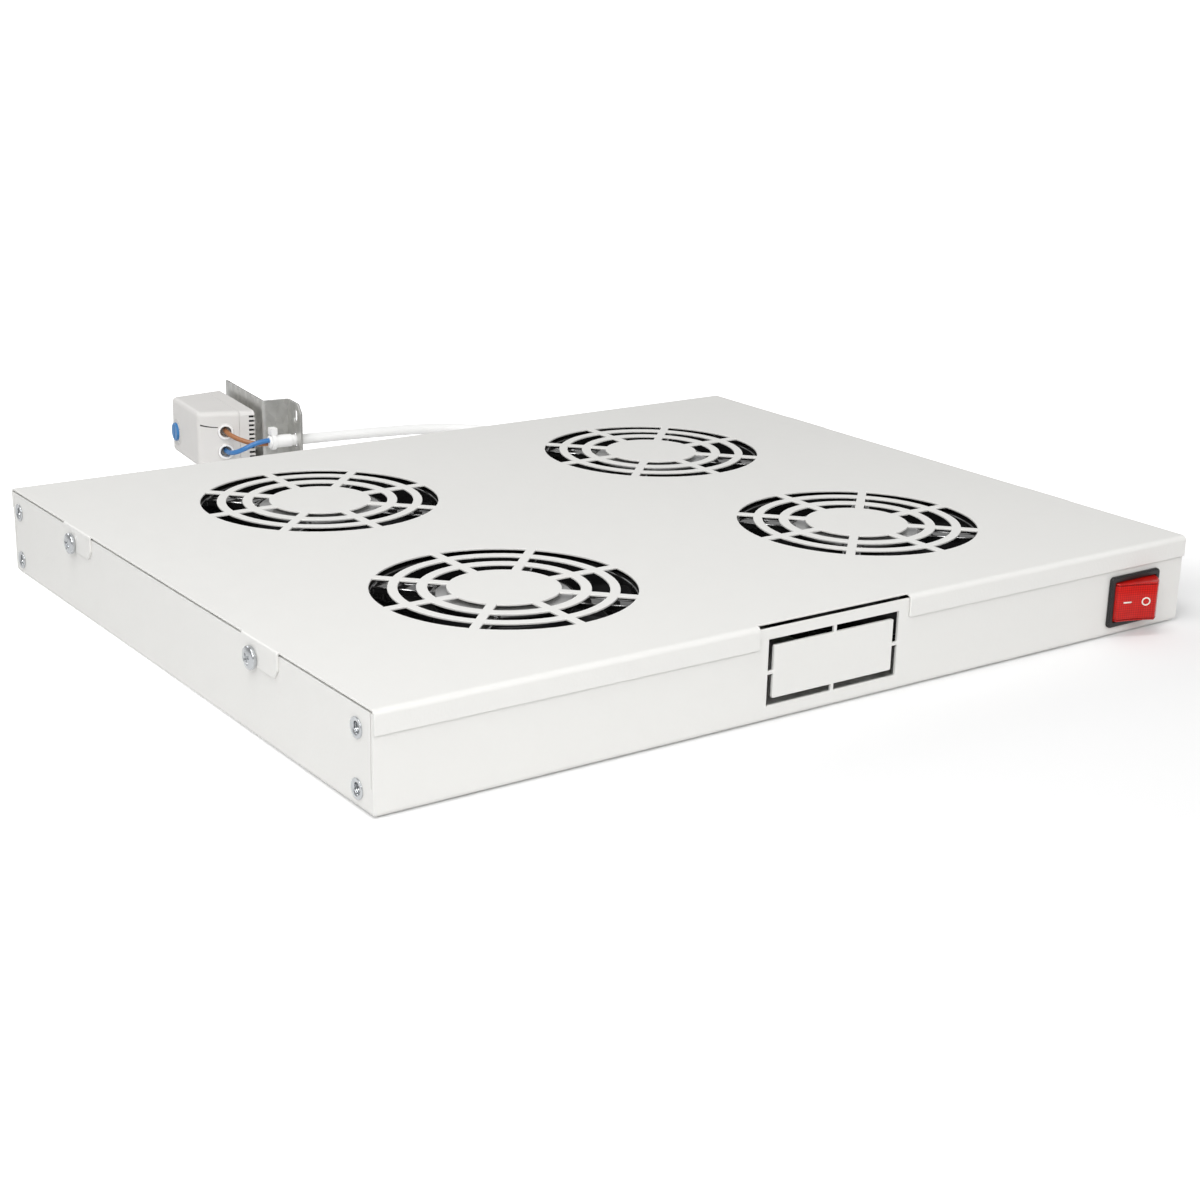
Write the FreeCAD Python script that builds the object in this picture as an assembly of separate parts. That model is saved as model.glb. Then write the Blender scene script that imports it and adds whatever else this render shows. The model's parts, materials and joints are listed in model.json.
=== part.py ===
import FreeCAD, Part
import math
import os

# Rack fan tray: a folded steel tray with four axial fans under a punched cover,
# a rocker switch in front, an appliance inlet behind and a small thermostat on a lead.
# Frame: +X to the right along the front, +Y to the rear, +Z up, millimetres.
# Origin: centre of the tray's underside.

# Tray and cover
WIDTH = 440.0
DEPTH = 360.0
HEIGHT = 42.5
SHEET = 1.5
COVER_SHEET = 1.0
COVER_GAP = 0.9
LIP_HEIGHT = 10.0
LIP_CLEARANCE = 0.2
OUTER_BEND = 2.5
CORNER_SEAM = 0.6
SEAM_BOTTOM = 11.0
PAN_HALF_DEPTH = DEPTH / 2 - COVER_SHEET - LIP_CLEARANCE
WALL_TOP = HEIGHT - COVER_SHEET - COVER_GAP
HALF_WIDTH = WIDTH / 2
HALF_DEPTH = DEPTH / 2
COVER_UNDERSIDE = HEIGHT - COVER_SHEET

# Cover tabs and their screws
TAB_WIDTH = 31.0
TAB_BOTTOM = 31.0
TAB_CHAMFER = 4.0
TAB_CENTRES_Y = (-90.5, 94.6)
TAB_SCREW_OFFSET = 6.0
TAB_SCREW_Z = 34.2
SCREW_THREAD_R = 2.5
SCREW_HEAD_R = 4.9
SCREW_HEAD_HEIGHT = 2.8
CLINCH_NUT_R = 4.6
CLINCH_NUT_DEPTH = 5.0

# Threaded inserts for the rack ears
EAR_HOLES_Y = (-167.0, 170.5)
EAR_HOLES_Z = (8.0, 32.0)
INSERT_BORE_R = 2.1
INSERT_BODY_R = 3.4
INSERT_FLANGE_R = 4.2
INSERT_FLANGE = 0.6
INSERT_LENGTH = 11.0

# Lip notch and knock-out plate in the front wall
NOTCH_WIDTH = 83.0
NOTCH_CUT = 3.5
KNOCKOUT_WIDTH = 72.0
KNOCKOUT_HEIGHT = 29.0
KNOCKOUT_BOTTOM = 6.9
KNOCKOUT_SLOT = 3.0
KNOCKOUT_CORNER = 0.8
KNOCKOUT_BRIDGE = 1.5

# Punched grilles
GRILLE_RINGS = ((24.6, 32.6), (37.4, 45.2), (49.6, 57.4))
GRILLE_SPOKES = 8
SPOKE_WIDTH = 4.3
FLOOR_OPENING_R = 57.0

# Fans
FAN_COLUMNS_X = (-100.5, 100.5)
FAN_ROWS_Y = (-80.0, 85.0)
FAN_SIZE = 119.5
FAN_HEIGHT = 38.0
FAN_FLANGE = 5.0
FAN_DUCT_R = 57.0
FAN_SCREW_PITCH = 105.0
FAN_SCREW_R = 2.0
FAN_HOLE_R = 2.2
CORNER_CUT = 24.0
FRAME_CORNER = 3.0
MOTOR_PLATE_R = 31.0
MOTOR_PLATE = 3.5
STRUT_WIDTH = 6.5
BEARING_TUBE_R = 6.0
BEARING_R = 4.0
BEARING_LENGTH = 4.0
SHAFT_R = 1.5
RUNNING_CLEARANCE = 0.05
STATOR_R = 21.5
HUB_R = 30.0
HUB_WALL = 2.0
HUB_BOTTOM = 5.5
HUB_TOP = 33.0
BLADES = 7
BLADE_TIP_R = 55.6
BLADE_THICKNESS = 1.6

# Rocker switch
SWITCH_X = 186.0
SWITCH_Z = 17.2
BEZEL_WIDTH = 33.2
BEZEL_HEIGHT = 24.7
BEZEL = 2.0
SWITCH_BODY_WIDTH = 31.2
SWITCH_BODY_HEIGHT = 22.0
SWITCH_BODY_DEPTH = 19.0
ROCKER_WINDOW_HEIGHT = 19.3
ROCKER_HALF_LENGTH = 9.6
ROCKER_HEIGHT = 18.6
ROCKER_FACE_TO_PIVOT = 11.0
ROCKER_DISH = 0.6
ROCKER_WRAP = 97.0
ROCKER_TILT = 20.0
ROCKER_CLEARANCE = 0.3
ROCKER_SWEEP = math.hypot(ROCKER_HALF_LENGTH, ROCKER_FACE_TO_PIVOT)
PIVOT_DEPTH = 3.5
CAVITY_BEHIND_PIVOT = 7.2
TRUNNION_R = 1.5
SWITCH_PIVOT_Y = -PAN_HALF_DEPTH + PIVOT_DEPTH
TAB_LENGTH = 8.0

# Appliance inlet in the rear wall
INLET_Z = 20.0
INLET_FLANGE_WIDTH = 50.0
INLET_FLANGE_HEIGHT = 22.4
INLET_FLANGE = 3.0
INLET_SCREW_PITCH = 40.0
INLET_BODY_WIDTH = 27.6
INLET_BODY_HEIGHT = 19.8
INLET_BODY_DEPTH = 16.0
INLET_RECESS_WIDTH = 24.0
INLET_RECESS_HEIGHT = 16.4
INLET_RECESS_DEPTH = 16.5
INLET_PIN_PITCH = 7.0
INLET_EARTH_PIN_Z = 2.5
INLET_LIVE_PIN_Z = -1.5

# Terminal block and earth stud on the floor of the middle channel
BLOCK_Y = 96.0
BLOCK_POLES = 6
BLOCK_PITCH = 9.0
BLOCK_DEPTH = 19.0
BLOCK_HEIGHT = 17.0
STUD_X = -27.0
STUD_Y = 140.0
STUD_R = 2.0
LUG_R = 4.5

# Leads inside the tray
INNER_LEAD_R = 1.4
LEAD_Z = SHEET + 5.5
LEAD_START_GAP = 0.7

# Cable outlet, lead and thermostat on its bracket
OUTLET_X = 118.0
OUTLET_Z = 20.0
GROMMET_NECK_R = 5.5
GROMMET_FLANGE_R = 7.5
CABLE_R = 3.1
CABLE_ROUTE = ((118.0, 182.0, 20.0), (118.6, 205.0, 18.6), (118.0, 230.0, 17.2), (109.5, 253.0, 17.2),
               (91.5, 267.0, 18.6), (68.0, 270.5, 20.4), (43.0, 270.3, 21.7), (17.5, 271.6, 22.4),
               (-8.0, 272.9, 22.8), (-19.0, 274.2, 22.9))
SLEEVE_R = 3.7
SLEEVE_END = (-33.0, 275.8, 23.0)
SLEEVE_GAP = 0.15
WIRE_R = 1.4
THERMOSTAT_ORIGIN = (-31.2, 320.8, 22.5)
THERMOSTAT_YAW = -6.5
THERMOSTAT_LENGTH = 64.0
THERMOSTAT_FACE = 48.0
THERMOSTAT_DEPTH = 32.0
THERMOSTAT_THICKNESS = 33.0
THERMOSTAT_BASE = 8.5
WIRE_ENTRY_X = -16.5
WIRE_ENTRIES_Z = (4.8, -7.0)
WIRE_COLLAR_R = 4.6
WIRE_ENTRY_R = 3.2
FINS = 11
FIN_PITCH = 2.65
FIN_SLOT = 1.25
FIN_DEPTH = 3.3
KNOB_R = 6.0
KNOB_Y = 14.5
KNOB_Z = -2.8
KNOB_PROUD = 2.0
KNOB_SEAT = 5.0
DIAL_R = 7.6
DIAL_PROUD = 0.6
HOUSING_ROUND = 3.0
BRACKET_GAP = 4.0
BRACKET_HEIGHT = 45.0
BRACKET_PLATE = 64.0
BRACKET_WEB = 17.0
BRACKET_FLANGE = 22.0
CABLE_HOLE_Y = -44.9
CABLE_HOLE_R = 4.2
RAIL_WIDTH = 35.0

os.makedirs("parts", exist_ok=True)


def export(name, shape):
    """Write one named node."""
    shape.exportStep("parts/" + name + ".step")


def vec(x, y, z):
    return FreeCAD.Vector(x, y, z)


def box(x0, x1, y0, y1, z0, z1):
    """Block between two corners."""
    return Part.makeBox(x1 - x0, y1 - y0, z1 - z0, vec(x0, y0, z0))


def rod(radius, start, end):
    """Cylinder from one point to another."""
    a, b = vec(*start), vec(*end)
    return Part.makeCylinder(radius, (b - a).Length, a, b - a)


def faceted_rod(radius, start, end, sides=8):
    """Straight bar with flat sides, for the hidden shank of a small screw."""
    a, b = vec(*start), vec(*end)
    turns = [2 * math.pi * index / sides for index in range(sides + 1)]
    outline = Part.makePolygon([vec(radius * math.cos(turn), radius * math.sin(turn), 0) for turn in turns])
    bar = Part.Face(outline).extrude(vec(0, 0, (b - a).Length))
    bar.Placement = FreeCAD.Placement(a, FreeCAD.Rotation(vec(0, 0, 1), b - a))
    return bar


def ring(outer, inner, z0, z1, x=0.0, y=0.0):
    """Upright tube."""
    return rod(outer, (x, y, z0), (x, y, z1)).cut(rod(inner, (x, y, z0), (x, y, z1)))


def prism(points, start, along):
    """Closed outline of plain points, moved to start and extruded."""
    corners = [vec(*p) + vec(*start) for p in points]
    face = Part.Face(Part.makePolygon(corners + corners[:1]))
    return face.extrude(vec(*along))


def union(shapes):
    return shapes[0].fuse(shapes[1:]) if len(shapes) > 1 else shapes[0]


def group(shapes):
    return Part.makeCompound(shapes)


def edges_where(shape, test):
    """Straight or round edges whose middle point passes the test."""
    found = []
    for edge in shape.Edges:
        middle = edge.valueAt((edge.FirstParameter + edge.LastParameter) / 2)
        if test(edge, middle):
            found.append(edge)
    return found


def is_along(edge, axis):
    """True for a straight edge along the given axis vector."""
    if len(edge.Vertexes) < 2:
        return False
    run = edge.Vertexes[1].Point - edge.Vertexes[0].Point
    return run.Length > 0 and abs(abs(run.normalize().dot(axis)) - 1) < 1e-6


def tube(route, radius, name=None):
    """Round lead along straight runs joined by tangent arcs."""
    points = [vec(*p) for p in route]
    edges, at, length, radii = [], points[0], 0.0, []
    for before, corner, after in zip(points, points[1:], points[2:]):
        back, ahead = before - corner, after - corner
        shorter = min(back.Length, ahead.Length)
        turn = math.pi - back.getAngle(ahead)
        bend = 0.45 * shorter / math.tan(turn / 2)
        back.normalize()
        ahead.normalize()
        first, last = corner + back * 0.45 * shorter, corner + ahead * 0.45 * shorter
        inward = (back + ahead).normalize()
        middle = corner + inward * (bend / math.cos(turn / 2) - bend)
        edges.append(Part.LineSegment(at, first).toShape())
        edges.append(Part.Arc(first, middle, last).toShape())
        at = last
        radii.append(bend)
    edges.append(Part.LineSegment(at, points[-1]).toShape())
    path = Part.Wire(edges)
    section = Part.Wire(Part.makeCircle(radius, points[0], points[1] - points[0]))
    shape = path.makePipeShell([section], True, True)
    if name:
        share = shape.Volume / (math.pi * radius ** 2 * path.Length)
        print(name, "length", round(path.Length, 1), "least radius", round(min(radii), 1),
              "volume share", round(share, 3))
    return shape


def thermostat_place(shape):
    """Move a piece from the thermostat's own frame onto its bracket."""
    moved = shape.copy()
    turn = FreeCAD.Rotation(vec(0, 0, 1), THERMOSTAT_YAW)
    moved.Placement = FreeCAD.Placement(vec(*THERMOSTAT_ORIGIN), turn)
    return moved


# Punched patterns

def grille_slots(x, y, z0, z1):
    """Ring slots of one grille, between the radial spokes."""
    rings = union([ring(outer, inner, z0, z1) for inner, outer in GRILLE_RINGS])
    reach = GRILLE_RINGS[-1][1] + 1
    half = SPOKE_WIDTH / 2
    spokes = []
    for index in range(GRILLE_SPOKES // 2):
        spoke = box(-reach, reach, -half, half, z0, z1)
        spoke.rotate(vec(0, 0, 0), vec(0, 0, 1), index * 360 / GRILLE_SPOKES)
        spokes.append(spoke)
    slots = rings.cut(union(spokes))
    slots.translate(vec(x, y, 0))
    return slots


def knockout_slot():
    """Narrow slot round the knock-out plate, broken by four bridges."""
    y0, y1 = -PAN_HALF_DEPTH - 1, -PAN_HALF_DEPTH + SHEET + 1
    half, top = KNOCKOUT_WIDTH / 2, KNOCKOUT_BOTTOM + KNOCKOUT_HEIGHT
    middle = (KNOCKOUT_BOTTOM + top) / 2
    outer = box(-half, half, y0, y1, KNOCKOUT_BOTTOM, top)
    plate = box(-half + KNOCKOUT_SLOT, half - KNOCKOUT_SLOT, y0, y1,
                KNOCKOUT_BOTTOM + KNOCKOUT_SLOT, top - KNOCKOUT_SLOT)
    corners = edges_where(plate, lambda edge, at: is_along(edge, vec(0, 1, 0)))
    slot = outer.cut(plate.makeFillet(KNOCKOUT_CORNER, corners))
    bridge = KNOCKOUT_BRIDGE / 2
    upright = box(-bridge, bridge, y0, y1, KNOCKOUT_BOTTOM - 1, top + 1)
    level = box(-half - 1, half + 1, y0, y1, middle - bridge, middle + bridge)
    return slot.cut([upright, level])


# Folded tray

fan_centres = [(x, y) for y in FAN_ROWS_Y for x in FAN_COLUMNS_X]
fan_screws = [(x + dx * FAN_SCREW_PITCH / 2, y + dy * FAN_SCREW_PITCH / 2)
              for x, y in fan_centres for dx in (-1, 1) for dy in (-1, 1)]
ear_points = [(side, y, z) for side in (-1, 1) for y in EAR_HOLES_Y for z in EAR_HOLES_Z]
cover_points = [(side, y + TAB_SCREW_OFFSET) for side in (-1, 1) for y in TAB_CENTRES_Y]


def folded_tray():
    """Floor and four walls of one bent sheet, rounded at the floor bends."""
    outer = box(-HALF_WIDTH, HALF_WIDTH, -PAN_HALF_DEPTH, PAN_HALF_DEPTH, 0, WALL_TOP)
    floor_edges = edges_where(outer, lambda edge, at: at.z < 0.01)
    outer = outer.makeFillet(OUTER_BEND, floor_edges)
    inner = box(-HALF_WIDTH + SHEET, HALF_WIDTH - SHEET, -PAN_HALF_DEPTH + SHEET,
                PAN_HALF_DEPTH - SHEET, SHEET, WALL_TOP + 5)
    floor_edges = edges_where(inner, lambda edge, at: at.z < SHEET + 0.01)
    inner = inner.makeFillet(OUTER_BEND - SHEET, floor_edges)
    return outer.cut(inner)


def corner_seams():
    """Open seams where the side walls butt against the front and rear walls."""
    seams = []
    for side in (-1, 1):
        for end in (-1, 1):
            x0, x1 = sorted((side * (HALF_WIDTH - SHEET - 0.01), side * (HALF_WIDTH + 1)))
            wall = end * (PAN_HALF_DEPTH - SHEET)
            y0, y1 = sorted((wall, wall - end * CORNER_SEAM))
            seams.append(box(x0, x1, y0, y1, SEAM_BOTTOM, WALL_TOP + 1))
    return seams


def base_pan():
    cuts = corner_seams() + [knockout_slot()]
    for x, y in fan_centres:
        cuts.append(rod(FLOOR_OPENING_R, (x, y, -1), (x, y, SHEET + 1)))
    for x, y in fan_screws:
        cuts.append(Part.makeCone(FAN_SCREW_R + SHEET + 0.2, FAN_SCREW_R + 0.2, SHEET, vec(x, y, 0)))
    for side, y, z in ear_points:
        cuts.append(rod(INSERT_BODY_R, (side * (HALF_WIDTH - 3), y, z), (side * (HALF_WIDTH + 1), y, z)))
    for side, y in cover_points:
        wall = side * HALF_WIDTH
        cuts.append(rod(SCREW_THREAD_R + 0.7, (wall - side * 3, y, TAB_SCREW_Z), (wall + side, y, TAB_SCREW_Z)))
    front, rear = -PAN_HALF_DEPTH, PAN_HALF_DEPTH
    half, tall = SWITCH_BODY_WIDTH / 2 + 0.1, SWITCH_BODY_HEIGHT / 2 + 0.1
    cuts.append(box(SWITCH_X - half, SWITCH_X + half, front - 1, front + 3, SWITCH_Z - tall, SWITCH_Z + tall))
    half, tall = INLET_BODY_WIDTH / 2 + 0.1, INLET_BODY_HEIGHT / 2 + 0.1
    cuts.append(box(-half, half, rear - 3, rear + 1, INLET_Z - tall, INLET_Z + tall))
    for side in (-1, 1):
        x = side * INLET_SCREW_PITCH / 2
        cuts.append(rod(1.7, (x, rear - 3, INLET_Z), (x, rear + 1, INLET_Z)))
    cuts.append(rod(GROMMET_NECK_R, (OUTLET_X, rear - 3, OUTLET_Z), (OUTLET_X, rear + 1, OUTLET_Z)))
    return folded_tray().cut(cuts)


export("base_pan", base_pan())


# Cover with grilles, lips and screw tabs

def cover_tab(side, centre):
    """Tab folded down outside the side wall, its lower front corner cut off."""
    x0, x1 = sorted((side * HALF_WIDTH, side * (HALF_WIDTH + COVER_SHEET)))
    y0, y1 = centre - TAB_WIDTH / 2, centre + TAB_WIDTH / 2
    outline = ((0, y0, TAB_BOTTOM + TAB_CHAMFER), (0, y0 + TAB_CHAMFER * 0.7, TAB_BOTTOM),
               (0, y1, TAB_BOTTOM), (0, y1, HEIGHT), (0, y0, HEIGHT))
    tab = prism(outline, (x0, 0, 0), (x1 - x0, 0, 0))
    x_far = HALF_WIDTH + COVER_SHEET
    bend = edges_where(tab, lambda edge, at: at.z > HEIGHT - 0.01 and abs(at.x) > x_far - 0.01)
    return tab.makeFillet(COVER_SHEET - 0.1, bend)


def top_cover():
    plate = box(-HALF_WIDTH, HALF_WIDTH, -HALF_DEPTH, HALF_DEPTH, HEIGHT - LIP_HEIGHT, HEIGHT)
    bends = edges_where(plate, lambda edge, at: at.z > HEIGHT - 0.01 and is_along(edge, vec(1, 0, 0)))
    plate = plate.makeFillet(OUTER_BEND, bends)
    inside = HALF_DEPTH - COVER_SHEET
    under = box(-HALF_WIDTH - 1, HALF_WIDTH + 1, -inside, inside, 0, COVER_UNDERSIDE)
    inner_bends = edges_where(under, lambda edge, at: at.z > 40 and is_along(edge, vec(1, 0, 0)))
    under = under.makeFillet(OUTER_BEND - COVER_SHEET, inner_bends)
    notch = box(-NOTCH_WIDTH / 2, NOTCH_WIDTH / 2, -HALF_DEPTH - 1, -HALF_DEPTH + NOTCH_CUT, 0, HEIGHT + 1)
    solid = plate.cut([under, notch])
    solid = union([solid] + [cover_tab(side, y) for side in (-1, 1) for y in TAB_CENTRES_Y])
    cuts = [grille_slots(x, y, COVER_UNDERSIDE - 1, HEIGHT + 1) for x, y in fan_centres]
    for side, y in cover_points:
        wall = side * HALF_WIDTH
        cuts.append(rod(SCREW_THREAD_R + 0.2, (wall - side, y, TAB_SCREW_Z), (wall + side * 3, y, TAB_SCREW_Z)))
    return solid.cut(cuts)


export("top_cover", top_cover())


# Fasteners of the sheet metal

def pan_head_screw(seat, outward, length, thread_r, head_r, head_height):
    """Domed head on the seat plane, thread running inwards."""
    rim = head_height * 0.45
    crown = Part.makeCone(head_r, head_r * 0.6, head_height - rim, vec(0, 0, rim))
    head = rod(head_r, (0, 0, 0), (0, 0, rim)).fuse(crown)
    screw = head.fuse(faceted_rod(thread_r, (0, 0, -length), (0, 0, 0.1)))
    turn = FreeCAD.Rotation(vec(0, 0, 1), vec(*outward))
    screw.Placement = FreeCAD.Placement(vec(*seat), turn)
    return screw


cover_screws = [pan_head_screw((side * (HALF_WIDTH + COVER_SHEET), y, TAB_SCREW_Z), (side, 0, 0), 9.0,
                               SCREW_THREAD_R, SCREW_HEAD_R, SCREW_HEAD_HEIGHT) for side, y in cover_points]
export("cover_screws", group(cover_screws))


def clinch_nut(side, y):
    """Nut pressed into the wall from inside, its neck filling the hole."""
    outer, inner = side * HALF_WIDTH, side * (HALF_WIDTH - SHEET)
    end = inner - side * CLINCH_NUT_DEPTH
    body = rod(CLINCH_NUT_R, (inner, y, TAB_SCREW_Z), (end, y, TAB_SCREW_Z))
    neck = rod(SCREW_THREAD_R + 0.7, (outer, y, TAB_SCREW_Z), (inner, y, TAB_SCREW_Z))
    return body.fuse(neck).cut(rod(SCREW_THREAD_R, (outer + side, y, TAB_SCREW_Z), (end - side, y, TAB_SCREW_Z)))


export("cover_nuts", group([clinch_nut(side, y) for side, y in cover_points]))


def ear_insert(side, y, z):
    """Blind threaded insert: thin flange outside, barrel inside."""
    wall = side * HALF_WIDTH
    flange = rod(INSERT_FLANGE_R, (wall + side * INSERT_FLANGE, y, z), (wall, y, z))
    barrel = rod(INSERT_BODY_R, (wall, y, z), (wall - side * INSERT_LENGTH, y, z))
    bore = rod(INSERT_BORE_R, (wall + side * 2, y, z), (wall - side * (INSERT_LENGTH + 1), y, z))
    return union([flange, barrel]).cut(bore)


export("ear_inserts", group([ear_insert(*point) for point in ear_points]))


def fan_screw(x, y):
    """Countersunk screw, flush under the floor."""
    head = Part.makeCone(FAN_SCREW_R + SHEET, FAN_SCREW_R, SHEET, vec(x, y, 0.1))
    return head.fuse(faceted_rod(FAN_SCREW_R, (x, y, SHEET), (x, y, SHEET + FAN_FLANGE + 5)))


def hex_prism(across, z0, z1, x, y):
    """Upright hexagon bar, given across its flats."""
    corner = across / math.sqrt(3)
    points = [(corner * math.cos(math.radians(60 * k)), corner * math.sin(math.radians(60 * k)), 0)
              for k in range(6)]
    return prism(points, (x, y, z0), (0, 0, z1 - z0))


def fan_nut(x, y):
    seat = SHEET + FAN_FLANGE
    bore = faceted_rod(FAN_SCREW_R + 0.02, (x, y, seat - 1), (x, y, seat + 5))
    return hex_prism(7.0, seat, seat + 3.2, x, y).cut(bore)


export("fan_screws", group([fan_screw(x, y) for x, y in fan_screws]))
export("fan_nuts", group([fan_nut(x, y) for x, y in fan_screws]))


# Fan: frame with its motor plate and struts on the side that faces the cover

def fan_frame():
    half = FAN_SIZE / 2
    block = box(-half, half, -half, half, 0, FAN_HEIGHT)
    uprights = edges_where(block, lambda edge, at: is_along(edge, vec(0, 0, 1)))
    block = block.makeChamfer(FRAME_CORNER, uprights)
    cuts = [rod(FAN_DUCT_R, (0, 0, -1), (0, 0, FAN_HEIGHT + 1))]
    for turn in range(4):
        pocket = box(half * math.sqrt(2) - CORNER_CUT, half * 2, -half, half, FAN_FLANGE, FAN_HEIGHT - FAN_FLANGE)
        pocket.rotate(vec(0, 0, 0), vec(0, 0, 1), 45 + 90 * turn)
        cuts.append(pocket)
    pitch = FAN_SCREW_PITCH / 2
    for dx in (-1, 1):
        for dy in (-1, 1):
            cuts.append(rod(FAN_HOLE_R, (dx * pitch, dy * pitch, -1), (dx * pitch, dy * pitch, FAN_HEIGHT + 1)))
    frame = block.cut(cuts)
    low = FAN_HEIGHT - MOTOR_PLATE
    pieces = [frame, rod(MOTOR_PLATE_R, (0, 0, low), (0, 0, FAN_HEIGHT - 0.3)),
              rod(BEARING_TUBE_R, (0, 0, 13), (0, 0, low + 1))]
    for turn in range(4):
        strut = prism(((MOTOR_PLATE_R - 3, -STRUT_WIDTH / 2 - 1, 0), (FAN_DUCT_R + 2, -STRUT_WIDTH / 2, 0),
                       (FAN_DUCT_R + 2, STRUT_WIDTH / 2, 0), (MOTOR_PLATE_R - 3, STRUT_WIDTH / 2 + 1, 0)),
                      (0, 0, low), (0, 0, MOTOR_PLATE - 0.6))
        strut.rotate(vec(0, 0, 0), vec(0, 0, 1), 45 + 90 * turn)
        pieces.append(strut)
    return union(pieces).cut(rod(BEARING_R, (0, 0, 0), (0, 0, low + 0.5)))


def fan_stator():
    """Four wound poles round the bearing tube."""
    core = box(-6.2, 6.2, -STATOR_R, STATOR_R, 17, 28).fuse(box(-STATOR_R, STATOR_R, -6.2, 6.2, 17, 28))
    coils = box(-9.5, 9.5, -17, 17, 15, 30).fuse(box(-17, 17, -9.5, 9.5, 15, 30))
    return core.fuse(coils).cut(rod(BEARING_TUBE_R, (0, 0, 0), (0, 0, FAN_HEIGHT)))


def blade():
    """Twisted blade between the hub and the duct, trimmed round at its tip."""
    def profile(radius, half_chord, low, high):
        lean = vec(0, -BLADE_THICKNESS * 0.3, BLADE_THICKNESS)
        a, b = vec(radius, -half_chord, low), vec(radius, half_chord, high)
        return Part.makePolygon([a, b, b + lean, a + lean, a])
    root = profile(HUB_R - 1.5, 10.5, 8.0, 29.0)
    tip = profile(BLADE_TIP_R + 4, 20.0, 10.5, 26.5)
    return Part.makeLoft([root, tip], True, True).common(rod(BLADE_TIP_R, (0, 0, 0), (0, 0, FAN_HEIGHT)))


def fan_impeller():
    """Hub cup, open towards the motor plate, with its blades."""
    cup = rod(HUB_R, (0, 0, HUB_BOTTOM), (0, 0, HUB_TOP))
    rim = edges_where(cup, lambda edge, at: at.z < HUB_BOTTOM + 0.01)
    cup = cup.makeChamfer(1.5, rim)
    blades = []
    for index in range(BLADES):
        one = blade()
        one.rotate(vec(0, 0, 0), vec(0, 0, 1), index * 360 / BLADES)
        blades.append(one)
    solid = union([cup] + blades)
    solid = solid.cut(rod(HUB_R - HUB_WALL, (0, 0, HUB_BOTTOM + HUB_WALL), (0, 0, HUB_TOP + 1)))
    boss = rod(4.0, (0, 0, HUB_BOTTOM + 1), (0, 0, 12.0))
    return solid.fuse(boss).cut(rod(SHAFT_R, (0, 0, HUB_BOTTOM + 0.8), (0, 0, FAN_HEIGHT)))


def fan_shaft():
    return rod(SHAFT_R, (0, 0, HUB_BOTTOM + 0.8), (0, 0, FAN_HEIGHT - MOTOR_PLATE + 0.2))


def fan_bearings():
    """The two ball bearings in the ends of the bearing tube."""
    bore = SHAFT_R + RUNNING_CLEARANCE
    upper = FAN_HEIGHT - MOTOR_PLATE - 0.5
    lower = 13.2
    return [ring(BEARING_R, bore, lower, lower + BEARING_LENGTH), ring(BEARING_R, bore, upper - BEARING_LENGTH, upper)]


frame_shape, stator_shape, impeller_shape, shaft_shape = fan_frame(), fan_stator(), fan_impeller(), fan_shaft()
bearings = []
for number, (fan_x, fan_y) in enumerate(fan_centres, start=1):
    place = vec(fan_x, fan_y, SHEET)
    for label, shape in (("frame", frame_shape), ("stator", stator_shape),
                         ("impeller", impeller_shape), ("shaft", shaft_shape)):
        export("fan_%s_%d" % (label, number), shape.translated(place))
    bearings += [bearing.translated(place) for bearing in fan_bearings()]
export("fan_bearings", group(bearings))


# Rocker switch

def switch_housing():
    front = -PAN_HALF_DEPTH
    half, tall = BEZEL_WIDTH / 2, BEZEL_HEIGHT / 2
    bezel = box(-half, half, front - BEZEL, front, -tall, tall)
    bezel = bezel.makeFillet(2.0, edges_where(bezel, lambda edge, at: is_along(edge, vec(0, 1, 0))))
    rim = edges_where(bezel, lambda edge, at: at.y < front - BEZEL + 0.01)
    bezel = bezel.makeChamfer(0.5, rim)
    half, tall = SWITCH_BODY_WIDTH / 2, SWITCH_BODY_HEIGHT / 2
    body = box(-half, half, front - 0.1, front + SWITCH_BODY_DEPTH, -tall, tall)
    tall = ROCKER_WINDOW_HEIGHT / 2
    swept = rod(ROCKER_SWEEP + ROCKER_CLEARANCE, (0, SWITCH_PIVOT_Y, -tall), (0, SWITCH_PIVOT_Y, tall))
    well = swept.common(box(-half, half, front - SWITCH_BODY_DEPTH, SWITCH_PIVOT_Y + CAVITY_BEHIND_PIVOT, -tall, tall))
    pins = rod(TRUNNION_R + RUNNING_CLEARANCE, (0, SWITCH_PIVOT_Y, -tall - 0.9), (0, SWITCH_PIVOT_Y, tall + 0.9))
    solid = bezel.fuse(body).cut([well, pins])
    return solid.translated(vec(SWITCH_X, 0, SWITCH_Z))


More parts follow.
